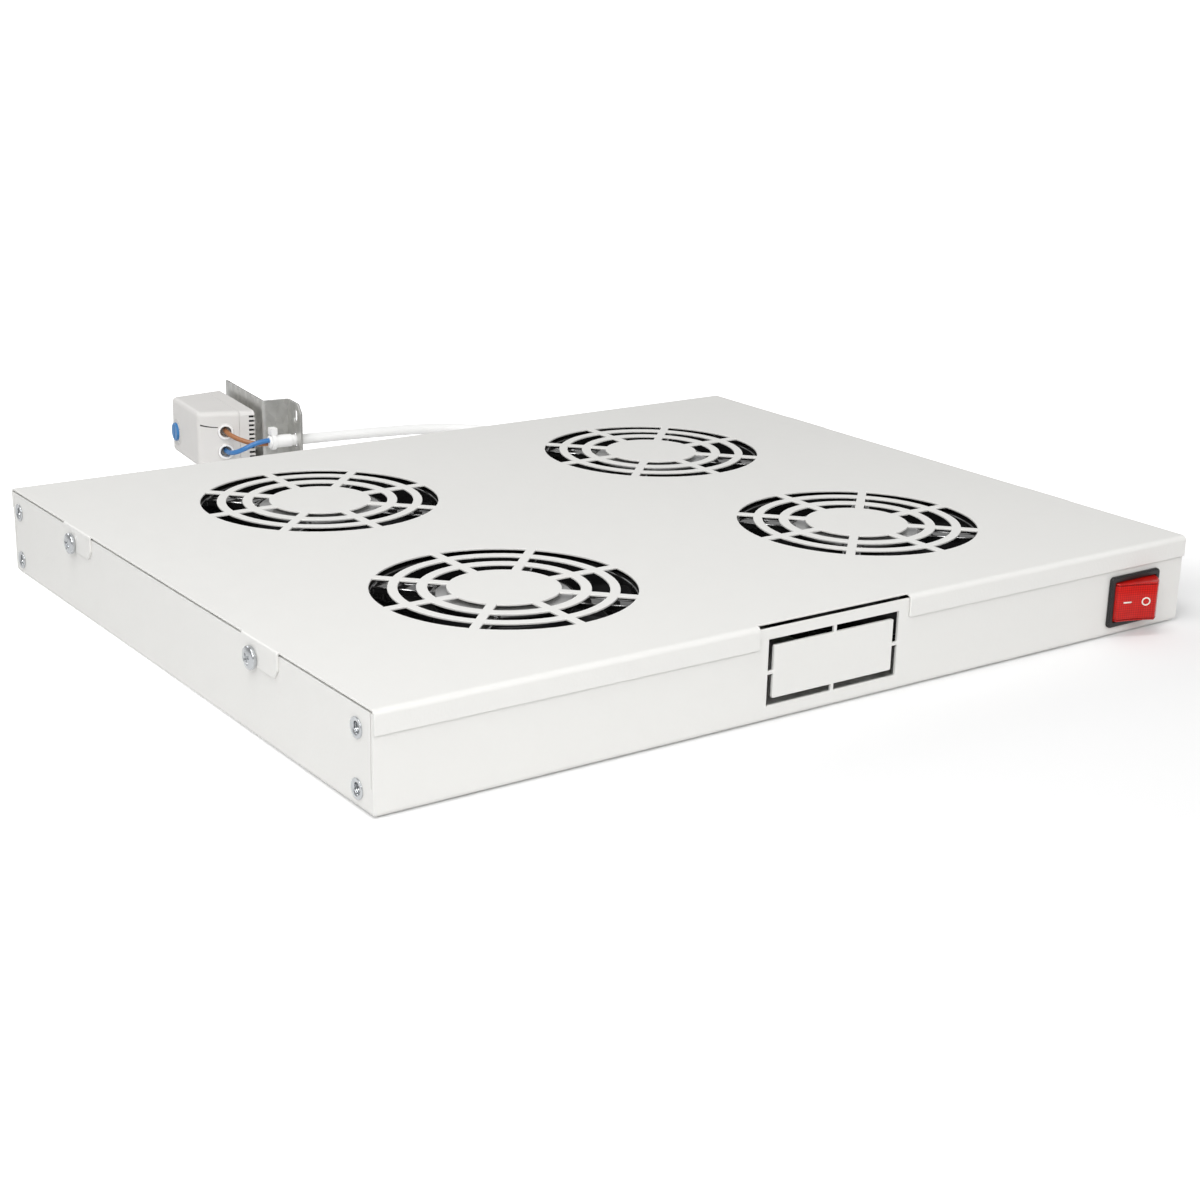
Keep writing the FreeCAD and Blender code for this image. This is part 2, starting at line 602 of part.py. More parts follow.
def switch_rocker():
    """Dished rocker between two round ends, pressed in at its left end."""
    wrap = math.radians(ROCKER_WRAP)
    start_angle = math.atan2(ROCKER_HALF_LENGTH, ROCKER_FACE_TO_PIVOT)
    half_angle = (start_angle + wrap) / 2

    def at(x, y):
        return vec(x, y, -ROCKER_HEIGHT / 2)

    def on_sweep(angle, side):
        return at(side * ROCKER_SWEEP * math.sin(angle), -ROCKER_SWEEP * math.cos(angle))

    left, right = on_sweep(start_angle, -1), on_sweep(start_angle, 1)
    dish = at(0, -ROCKER_FACE_TO_PIVOT + ROCKER_DISH)
    right_low, left_low = on_sweep(wrap, 1), on_sweep(wrap, -1)
    keel_right, keel_left = at(3, 5), at(-3, 5)
    outline = [Part.Arc(left, dish, right), Part.Arc(right, on_sweep(half_angle, 1), right_low),
               Part.LineSegment(right_low, keel_right), Part.LineSegment(keel_right, keel_left),
               Part.LineSegment(keel_left, left_low), Part.Arc(left_low, on_sweep(half_angle, -1), left)]
    body = Part.Face(Part.Wire([piece.toShape() for piece in outline])).extrude(vec(0, 0, ROCKER_HEIGHT))
    reach = ROCKER_WINDOW_HEIGHT / 2 + 0.8
    rocker = body.fuse(rod(TRUNNION_R, (0, 0, -reach), (0, 0, reach)))
    rocker.rotate(vec(0, 0, 0), vec(0, 0, 1), -ROCKER_TILT)
    return rocker.translated(vec(SWITCH_X, SWITCH_PIVOT_Y, SWITCH_Z))


def blade_tab(x, y0, y1, z):
    return box(x - 3.15, x + 3.15, y0, y1, z - 0.4, z + 0.4)


switch_back = -PAN_HALF_DEPTH + SWITCH_BODY_DEPTH
switch_tabs = [blade_tab(SWITCH_X + dx, switch_back, switch_back + TAB_LENGTH, SWITCH_Z + dz)
               for dx in (-7, 7) for dz in (-5.5, 5.5)]
export("switch_housing", switch_housing())
export("switch_rocker", switch_rocker())
export("switch_terminals", group(switch_tabs))


# Appliance inlet

def inlet_body():
    rear = PAN_HALF_DEPTH
    half, tall = INLET_FLANGE_WIDTH / 2, INLET_FLANGE_HEIGHT / 2
    inset = 9.0
    flange = prism(((-half + inset, 0, -tall), (half - inset, 0, -tall), (half, 0, -tall + inset),
                    (half, 0, tall - inset), (half - inset, 0, tall), (-half + inset, 0, tall),
                    (-half, 0, tall - inset), (-half, 0, -tall + inset)), (0, rear, 0), (0, INLET_FLANGE, 0))
    half, tall = INLET_BODY_WIDTH / 2, INLET_BODY_HEIGHT / 2
    body = box(-half, half, rear - INLET_BODY_DEPTH, rear + 0.1, -tall, tall)
    half, tall = INLET_RECESS_WIDTH / 2, INLET_RECESS_HEIGHT / 2
    recess = prism(((-half, 0, -tall), (half, 0, -tall), (half, 0, tall - 5), (half - 5, 0, tall),
                    (-half + 5, 0, tall), (-half, 0, tall - 5)),
                   (0, rear + INLET_FLANGE - INLET_RECESS_DEPTH, 0), (0, INLET_RECESS_DEPTH + 1, 0))
    cuts = [recess]
    for side in (-1, 1):
        x = side * INLET_SCREW_PITCH / 2
        cuts.append(rod(1.7, (x, rear - 1, 0), (x, rear + 5, 0)))
        cuts.append(Part.makeCone(1.7, 3.3, 1.6, vec(x, rear + INLET_FLANGE - 1.6, 0), vec(0, 1, 0)))
    return flange.fuse(body).cut(cuts).translated(vec(0, 0, INLET_Z))


def inlet_pin(x, z):
    """Flat blade that stands in the recess and comes out behind as a tab."""
    bottom = PAN_HALF_DEPTH + INLET_FLANGE - INLET_RECESS_DEPTH
    front = box(x - 1, x + 1, bottom, bottom + 11, INLET_Z + z - 2, INLET_Z + z + 2)
    tab = box(x - 0.4, x + 0.4, PAN_HALF_DEPTH - INLET_BODY_DEPTH - 8, PAN_HALF_DEPTH - INLET_BODY_DEPTH,
              INLET_Z + z - 3.15, INLET_Z + z + 3.15)
    return [front, tab]


def inlet_screw(side):
    x, seat = side * INLET_SCREW_PITCH / 2, PAN_HALF_DEPTH + INLET_FLANGE
    head = Part.makeCone(1.5, 3.0, 1.5, vec(x, seat - 1.6, INLET_Z), vec(0, 1, 0))
    return head.fuse(rod(1.5, (x, seat - 12, INLET_Z), (x, seat - 1.5, INLET_Z)))


def inlet_nut(side):
    x, seat = side * INLET_SCREW_PITCH / 2, PAN_HALF_DEPTH - SHEET
    nut = hex_prism(5.5, 0, 2.4, 0, 0).cut(rod(1.52, (0, 0, -1), (0, 0, 4)))
    nut.Placement = FreeCAD.Placement(vec(x, seat, INLET_Z), FreeCAD.Rotation(vec(0, 0, 1), vec(0, -1, 0)))
    return nut


export("inlet_body", inlet_body())
inlet_pins = [(-INLET_PIN_PITCH, INLET_LIVE_PIN_Z), (0, INLET_EARTH_PIN_Z), (INLET_PIN_PITCH, INLET_LIVE_PIN_Z)]
export("inlet_pins", group([piece for x, z in inlet_pins for piece in inlet_pin(x, z)]))
export("inlet_screws", group([inlet_screw(-1), inlet_screw(1)]))
export("inlet_nuts", group([inlet_nut(-1), inlet_nut(1)]))


# Terminal block and earth stud

def terminal_block():
    """Strip of poles, each with a tower for its two clamp screws."""
    half = BLOCK_POLES * BLOCK_PITCH / 2
    pieces = [box(-half - 3, half + 3, BLOCK_Y - 4, BLOCK_Y + 4, SHEET, SHEET + 9)]
    cuts = []
    for pole in range(BLOCK_POLES):
        x = -half + (pole + 0.5) * BLOCK_PITCH
        pieces.append(box(x - 3.9, x + 3.9, BLOCK_Y - BLOCK_DEPTH / 2, BLOCK_Y + BLOCK_DEPTH / 2,
                          SHEET, SHEET + BLOCK_HEIGHT))
        cuts.append(box(x - 2.4, x + 2.4, BLOCK_Y - BLOCK_DEPTH, BLOCK_Y + BLOCK_DEPTH, SHEET + 3, SHEET + 8))
        for side in (-1, 1):
            cuts.append(faceted_rod(2.2, (x, BLOCK_Y + side * 5, SHEET + 8), (x, BLOCK_Y + side * 5, SHEET + 20)))
    return union(pieces).cut(cuts)


def terminal_clamps():
    """Brass sleeves in the poles, with their clamp screws."""
    pieces = []
    for pole in range(BLOCK_POLES):
        x = -BLOCK_POLES * BLOCK_PITCH / 2 + (pole + 0.5) * BLOCK_PITCH
        sleeve = box(x - 2.4, x + 2.4, BLOCK_Y - 8, BLOCK_Y + 8, SHEET + 3, SHEET + 8)
        sleeve = sleeve.cut(box(x - 1.5, x + 1.5, BLOCK_Y - 9, BLOCK_Y + 9, SHEET + 4, SHEET + 7))
        screws = [box(x - 1.4, x + 1.4, BLOCK_Y + side * 5 - 1.4, BLOCK_Y + side * 5 + 1.4,
                      SHEET + 7.5, SHEET + 12) for side in (-1, 1)]
        pieces.append(union([sleeve] + screws))
    return pieces


export("terminal_block", terminal_block())
export("terminal_clamps", group(terminal_clamps()))
earth_stud = rod(STUD_R, (STUD_X, STUD_Y, SHEET), (STUD_X, STUD_Y, SHEET + 12))
earth_nut = union([hex_prism(7.0, SHEET + 1.0, SHEET + 4.2, STUD_X, STUD_Y),
                   rod(LUG_R, (STUD_X, STUD_Y, SHEET + 0.8), (STUD_X, STUD_Y, SHEET + 1.2))])
export("earth_stud", earth_stud)
export("earth_nut", earth_nut.cut(rod(STUD_R, (STUD_X, STUD_Y, SHEET), (STUD_X, STUD_Y, SHEET + 9))))


# Leads inside the tray

block_front, block_back = BLOCK_Y - 8, BLOCK_Y + 8
pole_x = [-BLOCK_POLES * BLOCK_PITCH / 2 + (pole + 0.5) * BLOCK_PITCH for pole in range(BLOCK_POLES)]
fan_side = FAN_COLUMNS_X[1] - FAN_SIZE / 2


def fan_lead(side, exit_y, x):
    """From the side of a fan frame along the channel into one pole."""
    return tube(((side * fan_side, exit_y, 24), (side * (fan_side - 10), exit_y + 6, 20),
                 (x, block_front - 18, LEAD_Z), (x, block_front, LEAD_Z)), INNER_LEAD_R)


export("fan_leads", group([fan_lead(-1, -52, pole_x[2]), fan_lead(1, -52, pole_x[3]),
                           fan_lead(-1, 36, pole_x[1]), fan_lead(1, 36, pole_x[4])]))
switch_end = switch_back + TAB_LENGTH + LEAD_START_GAP
switch_route = ((SWITCH_X + 7, switch_end, SWITCH_Z + 5.5), (SWITCH_X + 6, switch_end + 14, LEAD_Z),
                (172, 2, LEAD_Z), (27, 3, LEAD_Z), (pole_x[5], 60, LEAD_Z), (pole_x[5], block_front, LEAD_Z))
export("switch_lead", tube(switch_route, INNER_LEAD_R))
inlet_back = PAN_HALF_DEPTH - INLET_BODY_DEPTH - TAB_LENGTH - LEAD_START_GAP
pin_lead_z = INLET_Z + INLET_LIVE_PIN_Z


def inlet_lead(side, pole):
    """From one contact tab of the inlet into a pole."""
    x = side * INLET_PIN_PITCH
    return tube(((x, inlet_back, pin_lead_z), (x, inlet_back - 12, 14),
                 (pole_x[pole], block_back + 14, LEAD_Z), (pole_x[pole], block_back, LEAD_Z)), INNER_LEAD_R)


def earth_lead():
    """From the middle contact tab to a lug under the earth nut."""
    lug = ring(LUG_R, STUD_R, SHEET, SHEET + 0.8, STUD_X, STUD_Y)
    tongue = box(STUD_X + 3.5, STUD_X + 10, STUD_Y - 2, STUD_Y + 2, SHEET, SHEET + 0.8)
    route = ((0, inlet_back, INLET_Z + INLET_EARTH_PIN_Z), (-3, inlet_back - 8, 27), (-16, STUD_Y + 2, 17),
             (STUD_X + 8, STUD_Y, SHEET + 0.4))
    return union([tube(route, INNER_LEAD_R), lug, tongue])


export("inlet_leads", group([inlet_lead(1, 3), inlet_lead(-1, 2)]))
export("earth_lead", earth_lead())
tail_start = PAN_HALF_DEPTH - 2.5 - LEAD_START_GAP
tail_route = ((OUTLET_X, tail_start, OUTLET_Z), (OUTLET_X - 10, 158, LEAD_Z + 3), (30, 152, LEAD_Z),
              (pole_x[4], block_back + 18, LEAD_Z), (pole_x[4], block_back, LEAD_Z))
export("thermostat_tail", tube(tail_route, INNER_LEAD_R))


# Grommet, lead, sleeve and tie

def cable_grommet():
    """Rubber bush whose neck fills the hole in the rear wall."""
    rear, wall = PAN_HALF_DEPTH, PAN_HALF_DEPTH - SHEET
    pieces = [rod(GROMMET_FLANGE_R, (OUTLET_X, rear, OUTLET_Z), (OUTLET_X, rear + 2.5, OUTLET_Z)),
              rod(GROMMET_NECK_R, (OUTLET_X, wall - 0.5, OUTLET_Z), (OUTLET_X, rear + 0.5, OUTLET_Z)),
              rod(GROMMET_FLANGE_R, (OUTLET_X, wall - 1, OUTLET_Z), (OUTLET_X, wall, OUTLET_Z))]
    bore = rod(CABLE_R, (OUTLET_X, wall - 3, OUTLET_Z), (OUTLET_X, rear + 4, OUTLET_Z))
    return union(pieces).cut(bore)


cable_stub = rod(CABLE_R, (OUTLET_X, PAN_HALF_DEPTH - 2.5, OUTLET_Z), CABLE_ROUTE[0])
export("cable_grommet", cable_grommet())
export("thermostat_cable", tube(CABLE_ROUTE, CABLE_R, "thermostat cable").fuse(cable_stub))
sleeve_start = CABLE_ROUTE[-1]
sleeve_axis = (vec(*SLEEVE_END) - vec(*sleeve_start)).normalize()
sleeve = rod(SLEEVE_R, tuple(vec(*sleeve_start) + sleeve_axis * SLEEVE_GAP), SLEEVE_END)
export("cable_sleeve", sleeve)


def cable_tie():
    """Band round the sleeve with its ratchet head on top."""
    middle = vec(*SLEEVE_END) - sleeve_axis * 4.0
    band_end = middle + sleeve_axis * 2.5
    band = rod(SLEEVE_R + 1.0, tuple(middle), tuple(band_end))
    band = band.cut(rod(SLEEVE_R, tuple(middle - sleeve_axis), tuple(band_end + sleeve_axis)))
    head = box(-1.9, 1.9, -2.4, 2.4, SLEEVE_R + 0.4, SLEEVE_R + 4.6)
    tail = box(-1.2, 1.2, 2.4, 4.0, SLEEVE_R + 2.0, SLEEVE_R + 3.2)
    head = head.fuse(tail).translated(middle + sleeve_axis * 1.2)
    return band.fuse(head)


export("cable_tie", cable_tie())


# Thermostat: own frame with +X out of its rail side, +Y along its length, +Z up

def thermostat_outline():
    """Plan of the housing: long rail side, shorter dial side, slanted ends."""
    long, short, deep = THERMOSTAT_LENGTH / 2, THERMOSTAT_FACE / 2, THERMOSTAT_DEPTH
    return ((0, -long, 0), (0, long, 0), (-deep, short, 0), (-deep, -short, 0))


def entry_axis(z):
    """Point on the near slanted end and its outward direction."""
    long, short, deep = THERMOSTAT_LENGTH / 2, THERMOSTAT_FACE / 2, THERMOSTAT_DEPTH
    slope = (long - short) / deep
    point = vec(WIRE_ENTRY_X, -long - slope * WIRE_ENTRY_X, z)
    return point, vec(-slope, -1, 0).normalize()


def thermostat_housing():
    half = THERMOSTAT_THICKNESS / 2
    shell = prism(thermostat_outline(), (0, 0, -half), (0, 0, 2 * half))
    shell = shell.makeFillet(HOUSING_ROUND, edges_where(shell, lambda edge, at: at.x < -1))
    collars, bores = [], []
    for z in WIRE_ENTRIES_Z:
        point, out = entry_axis(z)
        collars.append(Part.makeCylinder(WIRE_COLLAR_R, 5.0, point - out * 4, out))
        bores.append(Part.makeCylinder(WIRE_ENTRY_R, 9.0, point - out * 6, out))
    dial = rod(DIAL_R, (-THERMOSTAT_DEPTH + 1, KNOB_Y, KNOB_Z), (-THERMOSTAT_DEPTH - DIAL_PROUD, KNOB_Y, KNOB_Z))
    seat = rod(KNOB_R + 0.1, (-THERMOSTAT_DEPTH + KNOB_SEAT, KNOB_Y, KNOB_Z),
               (-THERMOSTAT_DEPTH - 2, KNOB_Y, KNOB_Z))
    return union([shell, dial] + collars).cut(bores + [seat])


def fin_slots():
    """Cooling slots across both ends of the rail side."""
    slots = []
    for index in range(FINS):
        z = (index - (FINS - 1) / 2) * FIN_PITCH
        for side in (-1, 1):
            y0, y1 = sorted((side * (THERMOSTAT_LENGTH / 2 - 7), side * (THERMOSTAT_LENGTH / 2 + 1)))
            slots.append(box(-FIN_DEPTH, 1, y0, y1, z - FIN_SLOT / 2, z + FIN_SLOT / 2))
    return slots


housing = thermostat_housing()
half_thickness = THERMOSTAT_THICKNESS / 2
cover_zone = box(-60, -THERMOSTAT_BASE, -60, 60, -half_thickness - 1, half_thickness + 1)
export("thermostat_cover", thermostat_place(housing.common(cover_zone)))
export("thermostat_base", thermostat_place(housing.cut([cover_zone] + fin_slots())))
knob = rod(KNOB_R, (-THERMOSTAT_DEPTH + KNOB_SEAT, KNOB_Y, KNOB_Z), (-THERMOSTAT_DEPTH - KNOB_PROUD, KNOB_Y, KNOB_Z))
knob_slot = box(-THERMOSTAT_DEPTH - 3, -THERMOSTAT_DEPTH - KNOB_PROUD + 1, KNOB_Y - 0.6, KNOB_Y + 0.6,
                KNOB_Z - 4.5, KNOB_Z + 4.5)
export("thermostat_knob", thermostat_place(knob.cut(knob_slot)))


def thermostat_clip():
    """Rail foot with two hooks that grip through the bracket's windows."""
    half = RAIL_WIDTH / 2
    gap, sheet = BRACKET_GAP, SHEET
    pieces = [box(0, gap, -half - 5, half + 5, -9, 9)]
    for side in (-1, 1):
        y0, y1 = sorted((side * half, side * (half + 2.5)))
        lip0, lip1 = sorted((side * (half - 2.5), side * (half + 2.5)))
        pieces.append(box(gap - 0.1, gap + sheet + 2.2, y0, y1, -6, 6))
        pieces.append(box(gap + sheet, gap + sheet + 2.2, lip0, lip1, -6, 6))
    return union(pieces)


def thermostat_bracket():
    """Z-bent strip: rail plate, web and slotted flange."""
    half, gap, sheet = BRACKET_HEIGHT / 2, BRACKET_GAP, SHEET
    bend = -THERMOSTAT_LENGTH / 2 - 2
    far = bend + BRACKET_PLATE
    turn = gap + BRACKET_WEB
    near = bend - BRACKET_FLANGE + sheet
    outline = ((gap, far, 0), (gap + sheet, far, 0), (gap + sheet, bend + sheet, 0), (turn, bend + sheet, 0),
               (turn, near, 0), (turn - sheet, near, 0), (turn - sheet, bend, 0), (gap, bend, 0))
    strip = prism(outline, (0, 0, -half), (0, 0, 2 * half))
    outer_bends = edges_where(strip, lambda edge, at: is_along(edge, vec(0, 0, 1)) and (
        (abs(at.x - gap) < 0.01 and abs(at.y - bend) < 0.01) or
        (abs(at.x - turn) < 0.01 and abs(at.y - bend - sheet) < 0.01)))
    strip = strip.makeFillet(2.2, outer_bends)
    hole_y = near + 8.0
    cuts = []
    for z in (half - 7.5, -half + 7.5):
        cuts.append(box(turn - 3, turn + 1, hole_y - 2.6, hole_y + 2.6, z - 1.3, z + 1.3))
        for dz in (-1.3, 1.3):
            cuts.append(rod(2.6, (turn - 3, hole_y, z + dz), (turn + 1, hole_y, z + dz)))
    cuts.append(rod(CABLE_HOLE_R, (turn - 3, CABLE_HOLE_Y, 0.4), (turn + 1, CABLE_HOLE_Y, 0.4)))
    for side in (-1, 1):
        y0, y1 = sorted((side * (RAIL_WIDTH / 2 - 3), side * (RAIL_WIDTH / 2 + 3)))
        cuts.append(box(gap - 1, gap + sheet + 1, y0, y1, -6.5, 6.5))
    corner = 5.0
    for side in (-1, 1):
        cuts.append(prism(((0, near - 0.1, side * (half + 0.1)), (0, near + corner, side * (half + 0.1)),
                           (0, near - 0.1, side * (half - corner))), (turn - 3, 0, 0), (5, 0, 0)))
    return strip.cut(cuts)


export("thermostat_clip", thermostat_place(thermostat_clip()))
export("thermostat_bracket", thermostat_place(thermostat_bracket()))


def row_point(point):
    """Thermostat frame to the tray's frame."""
    turn = FreeCAD.Rotation(vec(0, 0, 1), THERMOSTAT_YAW)
    return turn.multVec(point) + vec(*THERMOSTAT_ORIGIN)


def wire(z, approach, sleeve_offset, name):
    """Conductor from a wire entry to the end of the sleeve."""
    point, out = entry_axis(z)
    start, mouth = row_point(point - out * 5.5), row_point(point + out * 2.5)
    aside = vec(*sleeve_offset)
    end = vec(*SLEEVE_END) + aside + sleeve_axis * (SLEEVE_GAP - aside.dot(sleeve_axis))
    lead_in = end + sleeve_axis * 6.0
    route = [tuple(start), tuple(mouth)] + [approach] + [tuple(lead_in), tuple(end)]
    return tube(route, WIRE_R, name)


export("brown_wire", wire(WIRE_ENTRIES_Z[0], (-47.0, 285.0, 24.0), (0, 1.6, -1.3), "brown wire"))
export("blue_wire", wire(WIRE_ENTRIES_Z[1], (-51.5, 280.0, 17.8), (0, -1.6, 1.3), "blue wire"))
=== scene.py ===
"""Looks of a rack fan tray: a folded steel tray with four axial fans under a punched cover.

Lengths are metres. +X runs to the right along the front, +Y to the rear and +Z up,
with the origin at the centre of the tray's underside.
"""

from __future__ import annotations

import json
import logging
import math
from dataclasses import dataclass, field
from enum import Enum

import bmesh
import bpy
import numpy as np
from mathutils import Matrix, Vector

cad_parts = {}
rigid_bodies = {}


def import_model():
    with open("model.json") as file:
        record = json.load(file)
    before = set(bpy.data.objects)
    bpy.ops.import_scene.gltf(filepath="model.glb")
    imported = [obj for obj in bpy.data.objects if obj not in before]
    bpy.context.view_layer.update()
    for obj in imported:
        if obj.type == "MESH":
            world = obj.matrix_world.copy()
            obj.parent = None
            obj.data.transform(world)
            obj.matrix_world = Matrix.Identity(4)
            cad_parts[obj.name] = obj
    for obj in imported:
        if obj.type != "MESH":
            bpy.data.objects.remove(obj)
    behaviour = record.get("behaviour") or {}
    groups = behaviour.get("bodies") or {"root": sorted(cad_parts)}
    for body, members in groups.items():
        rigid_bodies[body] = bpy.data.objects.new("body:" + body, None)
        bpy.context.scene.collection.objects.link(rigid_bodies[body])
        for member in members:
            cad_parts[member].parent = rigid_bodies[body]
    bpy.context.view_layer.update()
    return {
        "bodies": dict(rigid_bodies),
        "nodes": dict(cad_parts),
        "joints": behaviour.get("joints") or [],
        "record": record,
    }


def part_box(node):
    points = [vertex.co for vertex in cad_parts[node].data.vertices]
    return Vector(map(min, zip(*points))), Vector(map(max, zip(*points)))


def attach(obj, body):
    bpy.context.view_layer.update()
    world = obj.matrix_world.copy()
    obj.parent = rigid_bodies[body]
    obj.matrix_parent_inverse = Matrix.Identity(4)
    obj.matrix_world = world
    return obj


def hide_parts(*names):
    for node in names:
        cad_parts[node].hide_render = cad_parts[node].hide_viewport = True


Pair = tuple[float, float]
Point = tuple[float, float, float]
Nodes = dict[str, bpy.types.Object]
Tree = bpy.types.NodeTree
Socket = bpy.types.NodeSocket

FULL_TURN = 2 * math.pi
WHITE = (1.0, 1.0, 1.0, 1.0)
log = logging.getLogger("fan tray")


class Body(Enum):
    """The bodies that pieces ride on, besides the four fan rotors."""

    ROOT = "root"
    ROCKER = "rocker"
    KNOB = "knob"


class Slot(Enum):
    """The record's material slots, each finish naming its own."""

    POWDER_COAT = "powder_coat"
    ZINC = "zinc"
    GALVANISED = "galvanised"
    FAN_METAL = "fan_metal"
    FAN_BLADE = "fan_blade"
    BLACK_PLASTIC = "black_plastic"
    RED_LENS = "red_lens"
    GROMMET = "grommet_rubber"
    WHITE_CABLE = "white_cable"
    BROWN_WIRE = "brown_wire"
    BLUE_WIRE = "blue_wire"
    BLUE_KNOB = "blue_knob"
    THERMOSTAT = "thermostat_plastic"


class Head(Enum):
    """Forms of a screw's head."""

    PAN = "pan"
    COUNTERSUNK = "countersunk"


# Shader nodes, and the groups shared by the finishes

FLOAT, VECTOR, COLOUR = "NodeSocketFloat", "NodeSocketVector", "NodeSocketColor"
GLOSS_NOISE = (0.3, 0.7)
EDGE_MATCH = (0.99, 0.85)
EDGE_NOISE_SCALE = 700.0


def feed(tree: Tree, node: bpy.types.Node, inputs: dict[str | int, object]) -> None:
    """Fills a node's inputs: a socket is linked, any other value is set on the input itself.

    Args:
        tree: the node tree.
        node: the node.
        inputs: input name or number to socket or value.
    """
    for name, value in inputs.items():
        if isinstance(value, Socket):
            tree.links.new(value, node.inputs[name])
        else:
            node.inputs[name].default_value = value


def add_node(tree: Tree, kind: str, inputs: dict[str | int, object] | None = None,
             **options: object) -> bpy.types.Node:
    """Adds a shader node.

    Args:
        tree: the node tree.
        kind: the node's type, without the prefix that all shader nodes share.
        inputs: input name or number to socket or value.
        **options: the node's own settings.

    Returns:
        The node.
    """
    node = tree.nodes.new("ShaderNode" + kind)
    for name, value in options.items():
        setattr(node, name, value)
    feed(tree, node, inputs or {})
    return node


def scaled(tree: Tree, colour: Socket, factor: Socket) -> Socket:
    """Returns a colour times a factor."""
    return add_node(tree, "VectorMath", {0: colour, "Scale": factor}, operation="SCALE").outputs["Vector"]


def maths(tree: Tree, operation: str, *values: Socket | float) -> Socket:
    """Returns the result of a math node."""
    return add_node(tree, "Math", dict(enumerate(values)), operation=operation).outputs[0]


def spread(tree: Tree, value: Socket, given: Pair, wanted: Pair | tuple[Socket, Socket],
           **options: str) -> Socket:
    """Stretches a value from one range to another.

    Args:
        tree: the node tree.
        value: the value.
        given: the range that it comes in.
        wanted: the range that it is taken to.
        **options: the node's own settings.

    Returns:
        The stretched value.
    """
    ends = dict(zip(("From Min", "From Max", "To Min", "To Max"), (*given, *wanted)))
    return add_node(tree, "MapRange", {"Value": value, **ends}, **options).outputs["Result"]


def noise(tree: Tree, given: object, scale: float | None = None) -> Socket:
    """Returns noise at a group's coordinates, at the group's own scale unless one is named."""
    place = {"Vector": given["Vector"], "Scale": scale or given["Scale"]}
    return add_node(tree, "TexNoise", place).outputs["Fac"]


def grouped(tree: Tree, group: Tree, place: Socket, inputs: dict[str, object]) -> Socket:
    """Returns the output of a shared group at the given coordinates."""
    return add_node(tree, "Group", {"Vector": place, **inputs}, node_tree=group).outputs[0]


def new_group(title: str, inputs: dict[str, str],
              output: tuple[str, str]) -> tuple[Tree, object, bpy.types.Node]:
    """Starts an empty shader group.

    Args:
        title: the group's name.
        inputs: socket name to socket type.
        output: name and type of the one output.

    Returns:
        The group, the sockets of its inputs, and its output node.
    """
    tree = bpy.data.node_groups.new(title, "ShaderNodeTree")
    for name, kind in inputs.items():
        tree.interface.new_socket(name=name, in_out="INPUT", socket_type=kind)
    tree.interface.new_socket(name=output[0], in_out="OUTPUT", socket_type=output[1])
    return tree, tree.nodes.new("NodeGroupInput").outputs, tree.nodes.new("NodeGroupOutput")


@dataclass
class Groups:
    """The shader groups, each built once."""

    relief: Tree = None
    tone: Tree = None
    patchy: Tree = None
    edges: Tree = None

    def build(self) -> None:
        """Makes all groups."""
        self.relief = self.build_relief()
        self.tone = self.build_tone()
        self.patchy = self.build_patchy()
        self.edges = self.build_edges()

    def build_relief(self) -> Tree:
        """Builds fine surface relief: noise taken as a height and turned into a normal.

        Returns:
            The group.
        """
        tree, given, out = new_group("fine_relief", {"Vector": VECTOR, "Scale": FLOAT, "Height": FLOAT},
                                     ("Normal", VECTOR))
        bump = add_node(tree, "Bump", {"Distance": given["Height"], "Height": noise(tree, given)})
        feed(tree, out, {"Normal": bump.outputs["Normal"]})
        return tree

    def build_tone(self) -> Tree:
        """Builds a slow drift of a colour: the colour times one plus or minus a share of noise.

        Returns:
            The group.
        """
        tree, given, out = new_group("tone_drift", {"Vector": VECTOR, "Color": COLOUR, "Scale": FLOAT,
                                                    "Amount": FLOAT}, ("Color", COLOUR))
        shift = maths(tree, "SUBTRACT", noise(tree, given), 0.5)
        gain = maths(tree, "MULTIPLY_ADD", shift, given["Amount"], 1.0)
        feed(tree, out, {"Color": scaled(tree, given["Color"], gain)})
        return tree

    def build_patchy(self) -> Tree:
        """Builds uneven gloss: noise stretched between two roughness values.

        Returns:
            The group.
        """
        tree, given, out = new_group("patchy_gloss", {"Vector": VECTOR, "Scale": FLOAT, "Low": FLOAT,
                                                      "High": FLOAT}, ("Roughness", FLOAT))
        gloss = spread(tree, noise(tree, given), GLOSS_NOISE, (given["Low"], given["High"]))
        feed(tree, out, {"Roughness": gloss})
        return tree

    def build_edges(self) -> Tree:
        """Builds painted light along edges: where the rounded normal leaves the face's own, broken up by
        noise, the edge colour is mixed in, as a painted highlight where it is lighter and as painted shade
        where it is darker.

        Returns:
            The group.
        """
        tree, given, out = new_group("painted_edge_light", {"Vector": VECTOR, "Color": COLOUR, "Edge Color": COLOUR,
                                                      "Width": FLOAT, "Amount": FLOAT}, ("Color", COLOUR))
        rounded = add_node(tree, "Bevel", {"Radius": given["Width"]}, samples=4)
        own = add_node(tree, "NewGeometry")
        match = add_node(tree, "VectorMath", {0: rounded.outputs["Normal"], 1: own.outputs["Normal"]},
                         operation="DOT_PRODUCT")
        mask = spread(tree, match.outputs["Value"], EDGE_MATCH, (0.0, 1.0))
        # mask of the painted edge light: a highlight or shade, depending on the edge colour
        painted_edge_mask = maths(tree, "MULTIPLY", mask, noise(tree, given, EDGE_NOISE_SCALE))
        share = maths(tree, "MULTIPLY", painted_edge_mask, given["Amount"])
        blend = add_node(tree, "Mix", {"Factor": share, "A": given["Color"], "B": given["Edge Color"]},
                         data_type="RGBA")
        feed(tree, out, {"Color": blend.outputs["Result"]})
        return tree


GROUPS = Groups()


# Finishes


